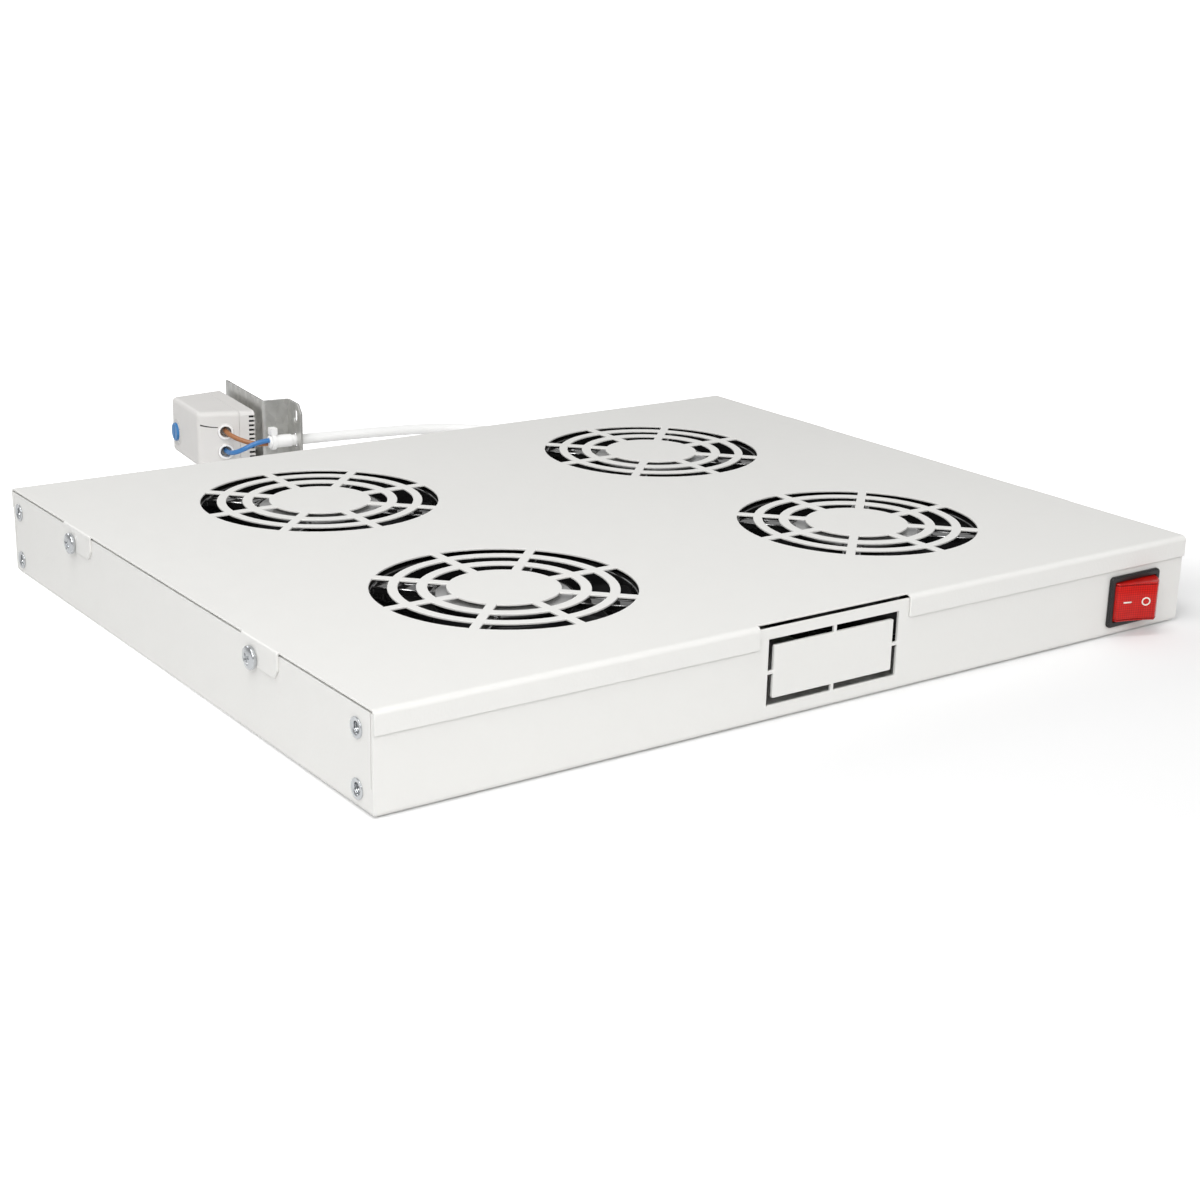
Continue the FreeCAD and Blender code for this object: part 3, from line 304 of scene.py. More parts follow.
@dataclass(frozen=True)
class Finish:
    """A finish whose colour drifts a little, with uneven gloss and fine relief.

    colour is linear, the scales are features per metre, and heights and widths are metres.
    """

    title: str
    colour: Point
    slot: Slot | None = None
    gloss: Pair = (0.35, 0.5)
    gloss_scale: float = 120.0
    metallic: float = 0.0
    relief_scale: float = 900.0
    relief_height: float = 1e-5
    drift: float = 0.06
    drift_scale: float = 40.0
    # edge_colour, edge_amount and edge_width paint light along rounded edges: a lighter edge colour paints a
    # highlight, a darker one paints shade
    edge_colour: Point | None = None
    edge_amount: float = 0.5
    edge_width: float = 0.0006
    coat: float = 0.0

    def material(self) -> bpy.types.Material:
        """Finds the finish's material, or makes it on first use.

        Returns:
            The material.
        """
        known = bpy.data.materials.get(self.title)
        if known:
            return known
        material = bpy.data.materials.new(self.title)
        material.use_nodes = True
        tree = material.node_tree
        shader = tree.nodes["Principled BSDF"]
        feed(tree, shader, {"Metallic": self.metallic, "Coat Weight": self.coat})
        self.dress(tree, shader, add_node(tree, "TexCoord").outputs["Object"])
        return material

    def dress(self, tree: Tree, shader: bpy.types.Node, place: Socket) -> None:
        """Joins colour, gloss and relief to the shader.

        Args:
            tree: the material's node tree.
            shader: its Principled node.
            place: the object coordinates.
        """
        colour = grouped(tree, GROUPS.tone, place, {"Color": (*self.colour, 1.0), "Amount": self.drift,
                                                    "Scale": self.drift_scale})
        # painted light along the rounded edges, in the edge colour
        if self.edge_colour:
            colour = grouped(tree, GROUPS.edges, place, {
                "Color": colour, "Edge Color": (*self.edge_colour, 1.0), "Width": self.edge_width,
                "Amount": self.edge_amount})
        gloss = grouped(tree, GROUPS.patchy, place, {"Scale": self.gloss_scale, "Low": self.gloss[0],
                                                     "High": self.gloss[1]})
        relief = grouped(tree, GROUPS.relief, place, {"Scale": self.relief_scale,
                                                      "Height": self.relief_height})
        feed(tree, shader, {"Base Color": self.pattern(tree, colour, place), "Roughness": gloss,
                            "Normal": relief})

    def pattern(self, tree: Tree, colour: Socket, place: Socket) -> Socket:
        """Returns the colour with the finish's own pattern, here as it came."""
        return colour


@dataclass(frozen=True)
class Spangled(Finish):
    """Galvanised sheet: crystals of zinc, each a little lighter or darker."""

    crystal_scale: float = 260.0
    crystal_tones: Pair = (0.9, 1.08)

    def pattern(self, tree: Tree, colour: Socket, place: Socket) -> Socket:
        """Tints each crystal.

        Args:
            tree: the material's node tree.
            colour: the plain colour.
            place: the object coordinates.

        Returns:
            The tinted colour.
        """
        crystals = add_node(tree, "TexVoronoi", {"Vector": place, "Scale": self.crystal_scale})
        grey = add_node(tree, "SeparateColor", {"Color": crystals.outputs["Color"]}).outputs["Red"]
        return scaled(tree, colour, spread(tree, grey, (0.0, 1.0), self.crystal_tones))


@dataclass(frozen=True)
class Stacked(Finish):
    """A stack of sheets seen from its side: dark lines at even heights."""

    sheet: float = 0.0005
    sheet_tones: Pair = (0.4, 1.1)

    def pattern(self, tree: Tree, colour: Socket, place: Socket) -> Socket:
        """Darkens a line between sheets.

        Args:
            tree: the material's node tree.
            colour: the plain colour.
            place: the object coordinates.

        Returns:
            The lined colour.
        """
        height = add_node(tree, "SeparateXYZ", {"Vector": place}).outputs["Z"]
        wave = maths(tree, "PINGPONG", height, self.sheet)
        return scaled(tree, colour, spread(tree, wave, (0.0, self.sheet), self.sheet_tones))


@dataclass(frozen=True)
class RedLens(Finish):
    """Translucent red plastic with a fine grid of ribs inside, painted as shade in the grooves and light on
    the ribs, darker at its edges by painted shade, and with a faint painted glow.
    """

    rib: float = 0.0011
    # how far the painted rib shading darkens the grooves and lightens the ribs
    rib_shading: float = 0.42
    clearness: float = 0.3
    bending: float = 1.49
    shine: float = 0.25
    # painted glow: emission in the lens's colour, though no lamp is inside
    painted_glow: float = 0.05

    def dress(self, tree: Tree, shader: bpy.types.Node, place: Socket) -> None:
        """Joins colour, gloss and relief, lets some light through, and adds a faint painted glow in the
        lens's own colour.

        Args:
            tree: the material's node tree.
            shader: its Principled node.
            place: the object coordinates.
        """
        super().dress(tree, shader, place)
        feed(tree, shader, {"Transmission Weight": self.clearness, "IOR": self.bending,
                            "Specular IOR Level": self.shine, "Emission Color": (*self.colour, 1.0),
                            "Emission Strength": self.painted_glow})

    def pattern(self, tree: Tree, colour: Socket, place: Socket) -> Socket:
        """Paints shade in the grooves between ribs and light on the ribs, which run upright and level.

        Args:
            tree: the material's node tree.
            colour: the plain colour.
            place: the object coordinates.

        Returns:
            The ribbed colour.
        """
        apart = add_node(tree, "SeparateXYZ", {"Vector": place})
        waves = [maths(tree, "PINGPONG", apart.outputs[axis], self.rib / 2) for axis in ("X", "Z")]
        tones = (1.0 - self.rib_shading, 1.0 + self.rib_shading)
        return scaled(tree, colour, spread(tree, maths(tree, "ADD", *waves), (0.0, self.rib), tones))


POWDER_COAT = Finish("light grey powder coat", (0.800, 0.795, 0.772), Slot.POWDER_COAT, gloss=(0.34, 0.44),
                     relief_scale=700.0, relief_height=6e-5, drift=0.02, drift_scale=9.0)
ZINC = Finish("bright zinc", (0.60, 0.62, 0.64), Slot.ZINC, gloss=(0.14, 0.28), gloss_scale=300.0,
              metallic=1.0, relief_scale=1500.0, relief_height=4e-6, drift=0.15, drift_scale=250.0)
GALVANISED = Spangled("galvanised sheet", (0.66, 0.66, 0.64), Slot.GALVANISED, gloss=(0.36, 0.52),
                      gloss_scale=200.0, metallic=1.0, relief_scale=600.0, relief_height=6e-6, drift=0.12,
                      drift_scale=60.0)
# its light grey edge colour is a painted highlight along the frame's rounded edges
FAN_PAINT = Finish("gloss black paint", (0.012, 0.012, 0.012), Slot.FAN_METAL, gloss=(0.06, 0.15),
                   relief_scale=350.0, relief_height=2e-5, drift=0.2, edge_colour=(0.3, 0.3, 0.3),
                   edge_amount=1.2, edge_width=0.0008, coat=1.0)
# its lighter edge colour is a painted highlight along the impeller's edges
FAN_PLASTIC = Finish("black glass-filled plastic", (0.02, 0.02, 0.022), Slot.FAN_BLADE, gloss=(0.32, 0.5),
                     relief_scale=1600.0, relief_height=1.2e-5, drift=0.25, edge_colour=(0.09, 0.09, 0.09),
                     edge_amount=0.4)
SILVER_LABEL = Finish("bare silver disc", (0.56, 0.56, 0.56), Slot.FAN_METAL, gloss=(0.3, 0.42),
                      metallic=0.65, relief_scale=1200.0, relief_height=4e-6, drift=0.08, drift_scale=70.0)
# its lighter edge colour is a painted highlight along the bezel's edges
SWITCH_PLASTIC = Finish("black switch plastic", (0.010, 0.010, 0.011), Slot.BLACK_PLASTIC, gloss=(0.3, 0.42),
                        relief_scale=2600.0, relief_height=8e-6, drift=0.2, edge_colour=(0.12, 0.12, 0.12),
                        edge_amount=0.35)
# its dark edge colour is painted shade along the rocker's edges
RED_LENS = RedLens("red lens", (0.66, 0.012, 0.008), Slot.RED_LENS, gloss=(0.12, 0.22), drift=0.3,
                   drift_scale=260.0, edge_colour=(0.12, 0.003, 0.003), edge_amount=2.0, edge_width=0.0008)
MARK_PAINT = Finish("cream mark", (0.85, 0.82, 0.74), Slot.RED_LENS, gloss=(0.3, 0.4), relief_height=2e-6,
                    drift=0.03)
PRINTED_GREY = Finish("printed grey", (0.12, 0.12, 0.13), Slot.THERMOSTAT, gloss=(0.4, 0.5),
                      relief_height=2e-6, drift=0.05)
THERMOSTAT_PLASTIC = Finish("light grey housing plastic", (0.74, 0.725, 0.705), Slot.THERMOSTAT,
                            gloss=(0.36, 0.5), relief_scale=2200.0, drift=0.03, drift_scale=60.0)
# its lighter edge colour is a painted highlight along the knob's edges
BLUE_PLASTIC = Finish("blue knob plastic", (0.04, 0.21, 0.50), Slot.BLUE_KNOB, gloss=(0.25, 0.35),
                      relief_scale=2000.0, relief_height=6e-6, drift=0.08, edge_colour=(0.2, 0.4, 0.7),
                      edge_amount=0.3)
WHITE_SHEATH = Finish("white sheath", (0.95, 0.95, 0.94), Slot.WHITE_CABLE, gloss=(0.34, 0.48),
                      relief_scale=700.0, relief_height=2e-5, drift=0.04, drift_scale=50.0)
BROWN_INSULATION = Finish("brown insulation", (0.40, 0.165, 0.065), Slot.BROWN_WIRE, gloss=(0.26, 0.38),
                          drift=0.1)
BLUE_INSULATION = Finish("blue insulation", (0.045, 0.20, 0.50), Slot.BLUE_WIRE, gloss=(0.26, 0.38),
                         drift=0.1)
BLACK_INSULATION = Finish("black insulation", (0.02, 0.02, 0.02), drift=0.15)
EARTH_INSULATION = Finish("green insulation", (0.28, 0.42, 0.04), drift=0.1)
RUBBER = Finish("soft black rubber", (0.022, 0.022, 0.022), Slot.GROMMET, gloss=(0.55, 0.7),
                relief_scale=1800.0, relief_height=1.5e-5, drift=0.2)
BRASS = Finish("bright brass", (0.72, 0.53, 0.22), gloss=(0.22, 0.36), metallic=1.0, relief_scale=1500.0,
               relief_height=4e-6, drift=0.12, drift_scale=200.0)
GROUND_STEEL = Finish("ground steel", (0.55, 0.55, 0.55), Slot.FAN_METAL, gloss=(0.18, 0.3), metallic=1.0,
                      relief_scale=2500.0, relief_height=3e-6, drift=0.08)
LAMINATION = Stacked("varnished sheets", (0.16, 0.12, 0.08), metallic=0.6, drift=0.2)
# near-black finish for painted shade: behind the thermostat's cooling slots and under its lid's edge
PAINTED_SHADE = Finish("painted shade", (0.012, 0.012, 0.011), Slot.THERMOSTAT, gloss=(0.6, 0.8), drift=0.2)
BLOCK_PLASTIC = Finish("natural block plastic", (0.72, 0.71, 0.66), gloss=(0.4, 0.55), relief_scale=1500.0,
                       drift=0.05)

# Parts of the construction that keep their own solids, and their finishes
KEPT_FINISHES = {
    "fan_shaft": GROUND_STEEL, "fan_stator": LAMINATION, "fan_bearings": GROUND_STEEL, "fan_nuts": ZINC,
    "cover_nuts": ZINC, "switch_terminals": BRASS, "inlet_pins": BRASS, "inlet_nuts": ZINC,
    "terminal_block": BLOCK_PLASTIC, "terminal_clamps": BRASS, "earth_stud": ZINC, "earth_nut": ZINC,
    "earth_lead": EARTH_INSULATION, "fan_leads": BLACK_INSULATION, "switch_lead": BLACK_INSULATION,
    "inlet_leads": BLACK_INSULATION, "thermostat_tail": WHITE_SHEATH,
}


# Surfaces

CURVE_STEPS = 4
MERGE_DISTANCE = 2e-6
FLAT_ANGLE = math.radians(0.6)
SHARP_ANGLE = math.radians(28)


def linked(piece: bpy.types.Object) -> bpy.types.Object:
    """Links an object to the scene and returns it."""
    bpy.context.scene.collection.objects.link(piece)
    return piece


@dataclass
class Patchwork:
    """Closed surfaces gathered into one mesh, each given as rings of points."""

    points: list[np.ndarray] = field(default_factory=list)
    faces: list[list[int]] = field(default_factory=list)
    count: int = 0

    def keep(self, points: np.ndarray, faces: np.ndarray) -> None:
        """Adds points and the faces between them.

        Args:
            points: any shape ending in 3.
            faces: rows of point numbers.
        """
        self.points.append(points.reshape(-1, 3))
        self.faces += faces.tolist()
        self.count += points.size // 3

    def rings(self, rings: np.ndarray, looped: bool = False) -> None:
        """Joins each ring to the next with quads, and closes the two ends with fans about their middles.

        Args:
            rings: points, stations by around by 3.
            looped: the last ring joins the first, as on a closed tube, and there are no ends.
        """
        stations, around, _ = rings.shape
        grid = self.count + np.arange(stations * around).reshape(stations, around)
        here = grid if looped else grid[:-1]
        ahead = np.roll(grid, -1, axis=0) if looped else grid[1:]
        quads = np.stack([here, np.roll(here, -1, axis=1), np.roll(ahead, -1, axis=1), ahead], axis=-1)
        self.keep(rings, quads.reshape(-1, 4))
        if looped:
            return
        for end in (0, -1):
            fan = np.stack([grid[end], np.roll(grid[end], -1), np.full(around, self.count)], axis=-1)
            self.keep(rings[end].mean(axis=0), fan)

    def build(self, name: str) -> bpy.types.Object:
        """Puts the surfaces into one smooth object whose faces point outwards.

        Args:
            name: the piece's name.

        Returns:
            The object, at the origin.
        """
        mesh = bpy.data.meshes.new(name)
        mesh.from_pydata(np.concatenate(self.points).tolist(), [], self.faces)
        work = bmesh.new()
        work.from_mesh(mesh)
        bmesh.ops.recalc_face_normals(work, faces=work.faces)
        work.to_mesh(mesh)
        work.free()
        mesh.shade_smooth()
        return linked(bpy.data.objects.new(name, mesh))


@dataclass(frozen=True)
class Place:
    """A spot with an outward direction: local Z goes outward, local X and Y lie across it."""

    origin: Point
    outward: Point
    turn: float = 0.0

    def put(self, local: np.ndarray) -> np.ndarray:
        """Takes local points to the tray's frame: origin plus each coordinate times its axis.

        Args:
            local: points, any shape ending in 3.

        Returns:
            Points of the same shape.
        """
        out = np.array(self.outward, float)
        out /= np.linalg.norm(out)
        upright = np.array((0.0, 1.0, 0.0)) if abs(out[2]) > 0.9 else np.array((0.0, 0.0, 1.0))
        across = np.cross(upright, out)
        across /= np.linalg.norm(across)
        along = np.cross(out, across)
        cos, sin = math.cos(self.turn), math.sin(self.turn)
        axes = np.stack([across * cos + along * sin, along * cos - across * sin, out])
        return np.asarray(self.origin) + local @ axes


def softened(corners: np.ndarray, radius: float, closed: bool = True) -> np.ndarray:
    """Rounds the corners of an outline.

    Each corner becomes a quadratic curve that starts and ends one radius from it, or 0.45 of the
    shorter side beside it, and has the corner as its control point.

    Args:
        corners: points, count by 2.
        radius: distance from the corner at which the curve starts.
        closed: the outline returns to its start. Otherwise its two ends stay as they are.

    Returns:
        The rounded outline, count by 2.
    """
    corners = np.asarray(corners, float)
    back = np.roll(corners, 1, axis=0) - corners
    ahead = np.roll(corners, -1, axis=0) - corners
    back_length = np.linalg.norm(back, axis=1, keepdims=True)
    ahead_length = np.linalg.norm(ahead, axis=1, keepdims=True)
    reach = np.minimum(radius, 0.45 * np.minimum(back_length, ahead_length))
    if not closed:
        reach[0] = reach[-1] = 0.0
    first = (corners + back / np.maximum(back_length, 1e-9) * reach)[:, None, :]
    last = (corners + ahead / np.maximum(ahead_length, 1e-9) * reach)[:, None, :]
    t = np.linspace(0, 1, CURVE_STEPS)[None, :, None]
    curve = (1 - t) ** 2 * first + 2 * t * (1 - t) * corners[:, None, :] + t ** 2 * last
    if closed:
        return curve.reshape(-1, 2)
    return np.concatenate([corners[:1], curve[1:-1].reshape(-1, 2), corners[-1:]])


def revolved(profile: np.ndarray, place: Place, around: int = 64) -> np.ndarray:
    """Turns a profile about the place's outward axis.

    A point is radius times (cos a, sin a) across the axis, and height along it.

    Args:
        profile: radius and height, count by 2.
        place: where the axis stands.
        around: points on each ring.

    Returns:
        Rings, count by around by 3.
    """
    angle = np.linspace(0, FULL_TURN, around, endpoint=False)
    radius, height = profile[:, :1], profile[:, 1:]
    return place.put(np.stack([radius * np.cos(angle), radius * np.sin(angle), height + 0 * angle], axis=-1))


def turned(local: np.ndarray, angle: float, origin: Point | np.ndarray) -> np.ndarray:
    """Turns points about the upright axis, then moves them.

    Args:
        local: points, any shape ending in 3.
        angle: the turn, anticlockwise seen from above.
        origin: where the local origin goes.

    Returns:
        Points of the same shape.
    """
    cos, sin = math.cos(angle), math.sin(angle)
    x, y = local[..., 0], local[..., 1]
    return np.stack([x * cos - y * sin, x * sin + y * cos, local[..., 2]], axis=-1) + np.array(origin)


def softened_copy(nodes: Nodes, node: str, name: str, edge: float, finish: Finish, segments: int = 2,
                  body: Body = Body.ROOT) -> bpy.types.Object:
    """Replaces a solid with a copy that has whole faces in place of triangles and rounded edges.

    Args:
        nodes: the solids.
        node: the solid that is replaced.
        name: the new piece's name.
        edge: width of the rounding.
        finish: the finish that it wears.
        segments: faces across the rounding.
        body: the body that it rides on.

    Returns:
        The piece, at the origin.
    """
    mesh = nodes[node].data.copy()
    mesh.name = name
    work = bmesh.new()
    work.from_mesh(mesh)
    bmesh.ops.remove_doubles(work, verts=work.verts, dist=MERGE_DISTANCE)
    bmesh.ops.dissolve_limit(work, angle_limit=FLAT_ANGLE, verts=work.verts, edges=work.edges)
    work.to_mesh(mesh)
    work.free()
    mesh.shade_smooth()
    piece = linked(bpy.data.objects.new(name, mesh))
    rounding = piece.modifiers.new("rounded edges", "BEVEL")
    rounding.width = edge
    rounding.segments = segments
    rounding.limit_method = "ANGLE"
    rounding.angle_limit = SHARP_ANGLE
    rounding.use_clamp_overlap = False
    rounding.loop_slide = False
    shading = piece.modifiers.new("flat faces stay flat", "WEIGHTED_NORMAL")
    shading.mode = "FACE_AREA"
    shading.weight = 100
    shading.keep_sharp = False
    return settle(piece, finish, node, body=body.value)


def settle(piece: bpy.types.Object, finish: Finish, *nodes: str, body: str = Body.ROOT.value,
           slot: Slot | None = None) -> bpy.types.Object:
    """Gives a piece its finish and its body, and lets it stand for the named solids.

    Args:
        piece: the new piece.
        finish: the finish that it wears.
        *nodes: solids that it replaces.
        body: the body that it rides on.
        slot: not used.

    Returns:
        The piece.
    """
    piece.data.materials.clear()
    piece.data.materials.append(finish.material())
    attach(piece, body)
    if nodes:
        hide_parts(*nodes)
    log.info("%s: %s, rides on %s", piece.name, finish.title, body)
    return piece


def middle_of(node: str) -> Vector:
    """Returns the middle of a solid's box."""
    low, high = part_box(node)
    return (low + high) / 2


# Sheet metal


@dataclass
class SheetMetal:
    """The folded pan and its punched cover."""

    pan_edge: float = 0.00022
    cover_edge: float = 0.00026

    def build(self, nodes: Nodes) -> None:
        """Makes both sheets with rounded cut edges."""
        softened_copy(nodes, "base_pan", "folded_pan", self.pan_edge, POWDER_COAT)
        softened_copy(nodes, "top_cover", "punched_cover", self.cover_edge, POWDER_COAT)


# Fasteners


@dataclass(frozen=True)
class CrossScrew:
    """A screw with a cross recess, its head's seat at the place and its shank behind it.

    The shares are of the head's radius or height, and of the recess's own width and arm.
    """

    place: Place
    head: Head
    head_radius: float
    head_height: float
    shank_radius: float
    length: float
    recess: float = 0.0014
    slot_width: float = 0.0011
    around: int = 64
    crown_share: float = 0.93
    dome_drop: float = 0.34
    dome_power: float = 2.4
    arm_share: float = 0.56
    flank_share: float = 0.3
    end_share: float = 0.45
    end_power: float = 0.6
    pan_side: Pair = (0.75, 0.12)
    flat_side: Pair = (0.995, 0.98)

    def rings(self) -> np.ndarray:
        """Works out the screw as rings from the middle of the head to the shank's end.

        The head's top is a height over radius and angle: a dome, or flat, less a cross whose depth
        falls off smoothly at its flanks and towards its ends. Below it the rings follow a profile.

        Returns:
            Rings, count by around by 3.
        """
        angle = np.linspace(0, FULL_TURN, self.around, endpoint=False)
        crown = self.head_radius * self.crown_share
        radius = np.linspace(0.03, 1.0, 22)[:, None] * crown
        x, y = radius * np.cos(angle), radius * np.sin(angle)
        pan = self.head is Head.PAN
        drop = self.dome_drop * self.head_height * (radius / self.head_radius) ** self.dome_power
        dome = self.head_height - (drop if pan else 0 * radius)
        narrow, wide = np.minimum(abs(x), abs(y)), np.maximum(abs(x), abs(y))
        arm = self.arm_share * self.head_radius
        flank = np.clip((self.slot_width / 2 - narrow) / (self.flank_share * self.slot_width) + 0.5, 0, 1)
        end = np.clip((arm - wide) / (self.end_share * arm), 0, 1)
        top = np.stack([x, y, dome - self.recess * flank * end ** self.end_power], axis=-1)
        rim = float(dome[-1, 0])
        shoulder, foot = self.pan_side if pan else self.flat_side
        seat = 0.0 if pan else rim - (self.head_radius - self.shank_radius)
        profile = softened(np.array([
            (crown, rim), (self.head_radius, shoulder * rim), (self.head_radius, foot * rim),
            (self.shank_radius, seat), (self.shank_radius, -self.length),
            (0.1 * self.shank_radius, -self.length)]), 0.0002, closed=False)
        return np.concatenate([self.place.put(top), revolved(profile[1:], self.place, self.around)])


@dataclass
class Fasteners:
    """Cover screws, fan screws, inlet screws and the threaded inserts for the rack ears.

    A screw's sizes are head radius, head height, shank radius and length, then those of its cross.
    """

    cover_screw: tuple[float, ...] = (0.0049, 0.0028, 0.0025, 0.009)
    cover_screws_y: Pair = (-0.0845, 0.1006)
    cover_screw_z: float = 0.0342
    cover_sheet_face: float = 0.221
    screw_turns: tuple[float, ...] = (0.35, 1.1, 0.7, 0.15)
    fan_screw: tuple[float, ...] = (0.0034, 0.0015, 0.0019, 0.0095, 0.0011, 0.0009, 32)
    fan_screw_pitch: float = 0.105
    fan_screw_z: float = 0.0016
    inlet_screw: tuple[float, ...] = (0.003, 0.0015, 0.0015, 0.0102, 0.001, 0.0008, 40)
    inlet_screw_turn: float = 0.6
    inserts_y: Pair = (-0.167, 0.1705)
    inserts_z: Pair = (0.008, 0.032)
    wall_face: float = 0.22
    thread_radius: float = 0.0021
    thread_pitch: float = 0.0008
    thread_depth: float = 0.00035
    thread_ends: Pair = (0.0003, 0.0005)
    insert_radius: float = 0.0034
    insert_mouths: Pair = (0.0006, 0.0004)
    flange_radius: float = 0.0042
    flange: float = 0.0006
    insert_length: float = 0.011

    def build(self) -> None:
        """Makes every group of fasteners."""
        self.build_cover_screws()
        self.build_flat_screws()
        self.build_inserts()

    def build_cover_screws(self) -> None:
        """Makes the four pan-head screws of the cover's tabs."""
        work = Patchwork()
        spots = [(side, y) for side in (-1, 1) for y in self.cover_screws_y]
        for (side, y), turn in zip(spots, self.screw_turns):
            place = Place((side * self.cover_sheet_face, y, self.cover_screw_z), (side, 0, 0), turn)
            work.rings(CrossScrew(place, Head.PAN, *self.cover_screw).rings())
        settle(work.build("cross_head_cover_screws"), ZINC, "cover_screws")

    def build_flat_screws(self) -> None:
        """Makes the countersunk screws under the fans and in the inlet's flange."""
        work = Patchwork()
        half = self.fan_screw_pitch / 2
        for number in range(1, 5):
            middle = middle_of("fan_shaft_%d" % number)
            for dx, dy in ((-1, -1), (-1, 1), (1, -1), (1, 1)):
                at = (middle.x + dx * half, middle.y + dy * half, self.fan_screw_z)
                spot = Place(at, (0, 0, -1), 0.4 * number + dx)
                work.rings(CrossScrew(spot, Head.COUNTERSUNK, *self.fan_screw).rings())
        settle(work.build("countersunk_fan_screws"), ZINC, "fan_screws")
        work = Patchwork()
        low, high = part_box("inlet_screws")
        radius, height = self.inlet_screw[:2]
        for x in (low.x + radius, high.x - radius):
            spot = Place((x, high.y - height, (low.z + high.z) / 2), (0, 1, 0), self.inlet_screw_turn)
            work.rings(CrossScrew(spot, Head.COUNTERSUNK, *self.inlet_screw).rings())
        settle(work.build("countersunk_inlet_screws"), ZINC, "inlet_screws")

    def insert_rings(self, place: Place) -> np.ndarray:
        """Works out one insert as a closed loop of rings: flange, barrel, end and threaded bore.

        In the bore the radius grows by the thread's depth times a triangle wave of height over
        pitch plus the share of the turn, so the crest climbs one pitch in each turn.

        Args:
            place: middle of the flange's seat, pointing outward.

        Returns:
            Rings, count by around by 3.
        """
        mouth, end = (self.thread_radius + wider for wider in self.insert_mouths)
        shell = softened(np.array([(mouth, self.flange), (self.flange_radius, self.flange),
                                   (self.flange_radius, 0.0), (self.insert_radius, 0.0),
                                   (self.insert_radius, -self.insert_length), (end, -self.insert_length)]),
                         0.00025, closed=False)
        outer = revolved(shell, place, 40)
        angle = np.linspace(0, FULL_TURN, 40, endpoint=False)
        low, high = self.thread_ends
        height = np.linspace(low - self.insert_length, self.flange - high, 64)[:, None]
        phase = (height / self.thread_pitch + angle / FULL_TURN) % 1.0
        radius = self.thread_radius + self.thread_depth * abs(2 * phase - 1)
        bore = np.stack([radius * np.cos(angle), radius * np.sin(angle), height + 0 * angle], axis=-1)
        return np.concatenate([outer, place.put(bore)])

    def build_inserts(self) -> None:
        """Makes the eight threaded inserts."""
        work = Patchwork()
        for side in (-1, 1):
            for y in self.inserts_y:
                for z in self.inserts_z:
                    place = Place((side * self.wall_face, y, z), (side, 0, 0))
                    work.rings(self.insert_rings(place), looped=True)
        settle(work.build("threaded_ear_inserts"), ZINC, "ear_inserts")


# Fans


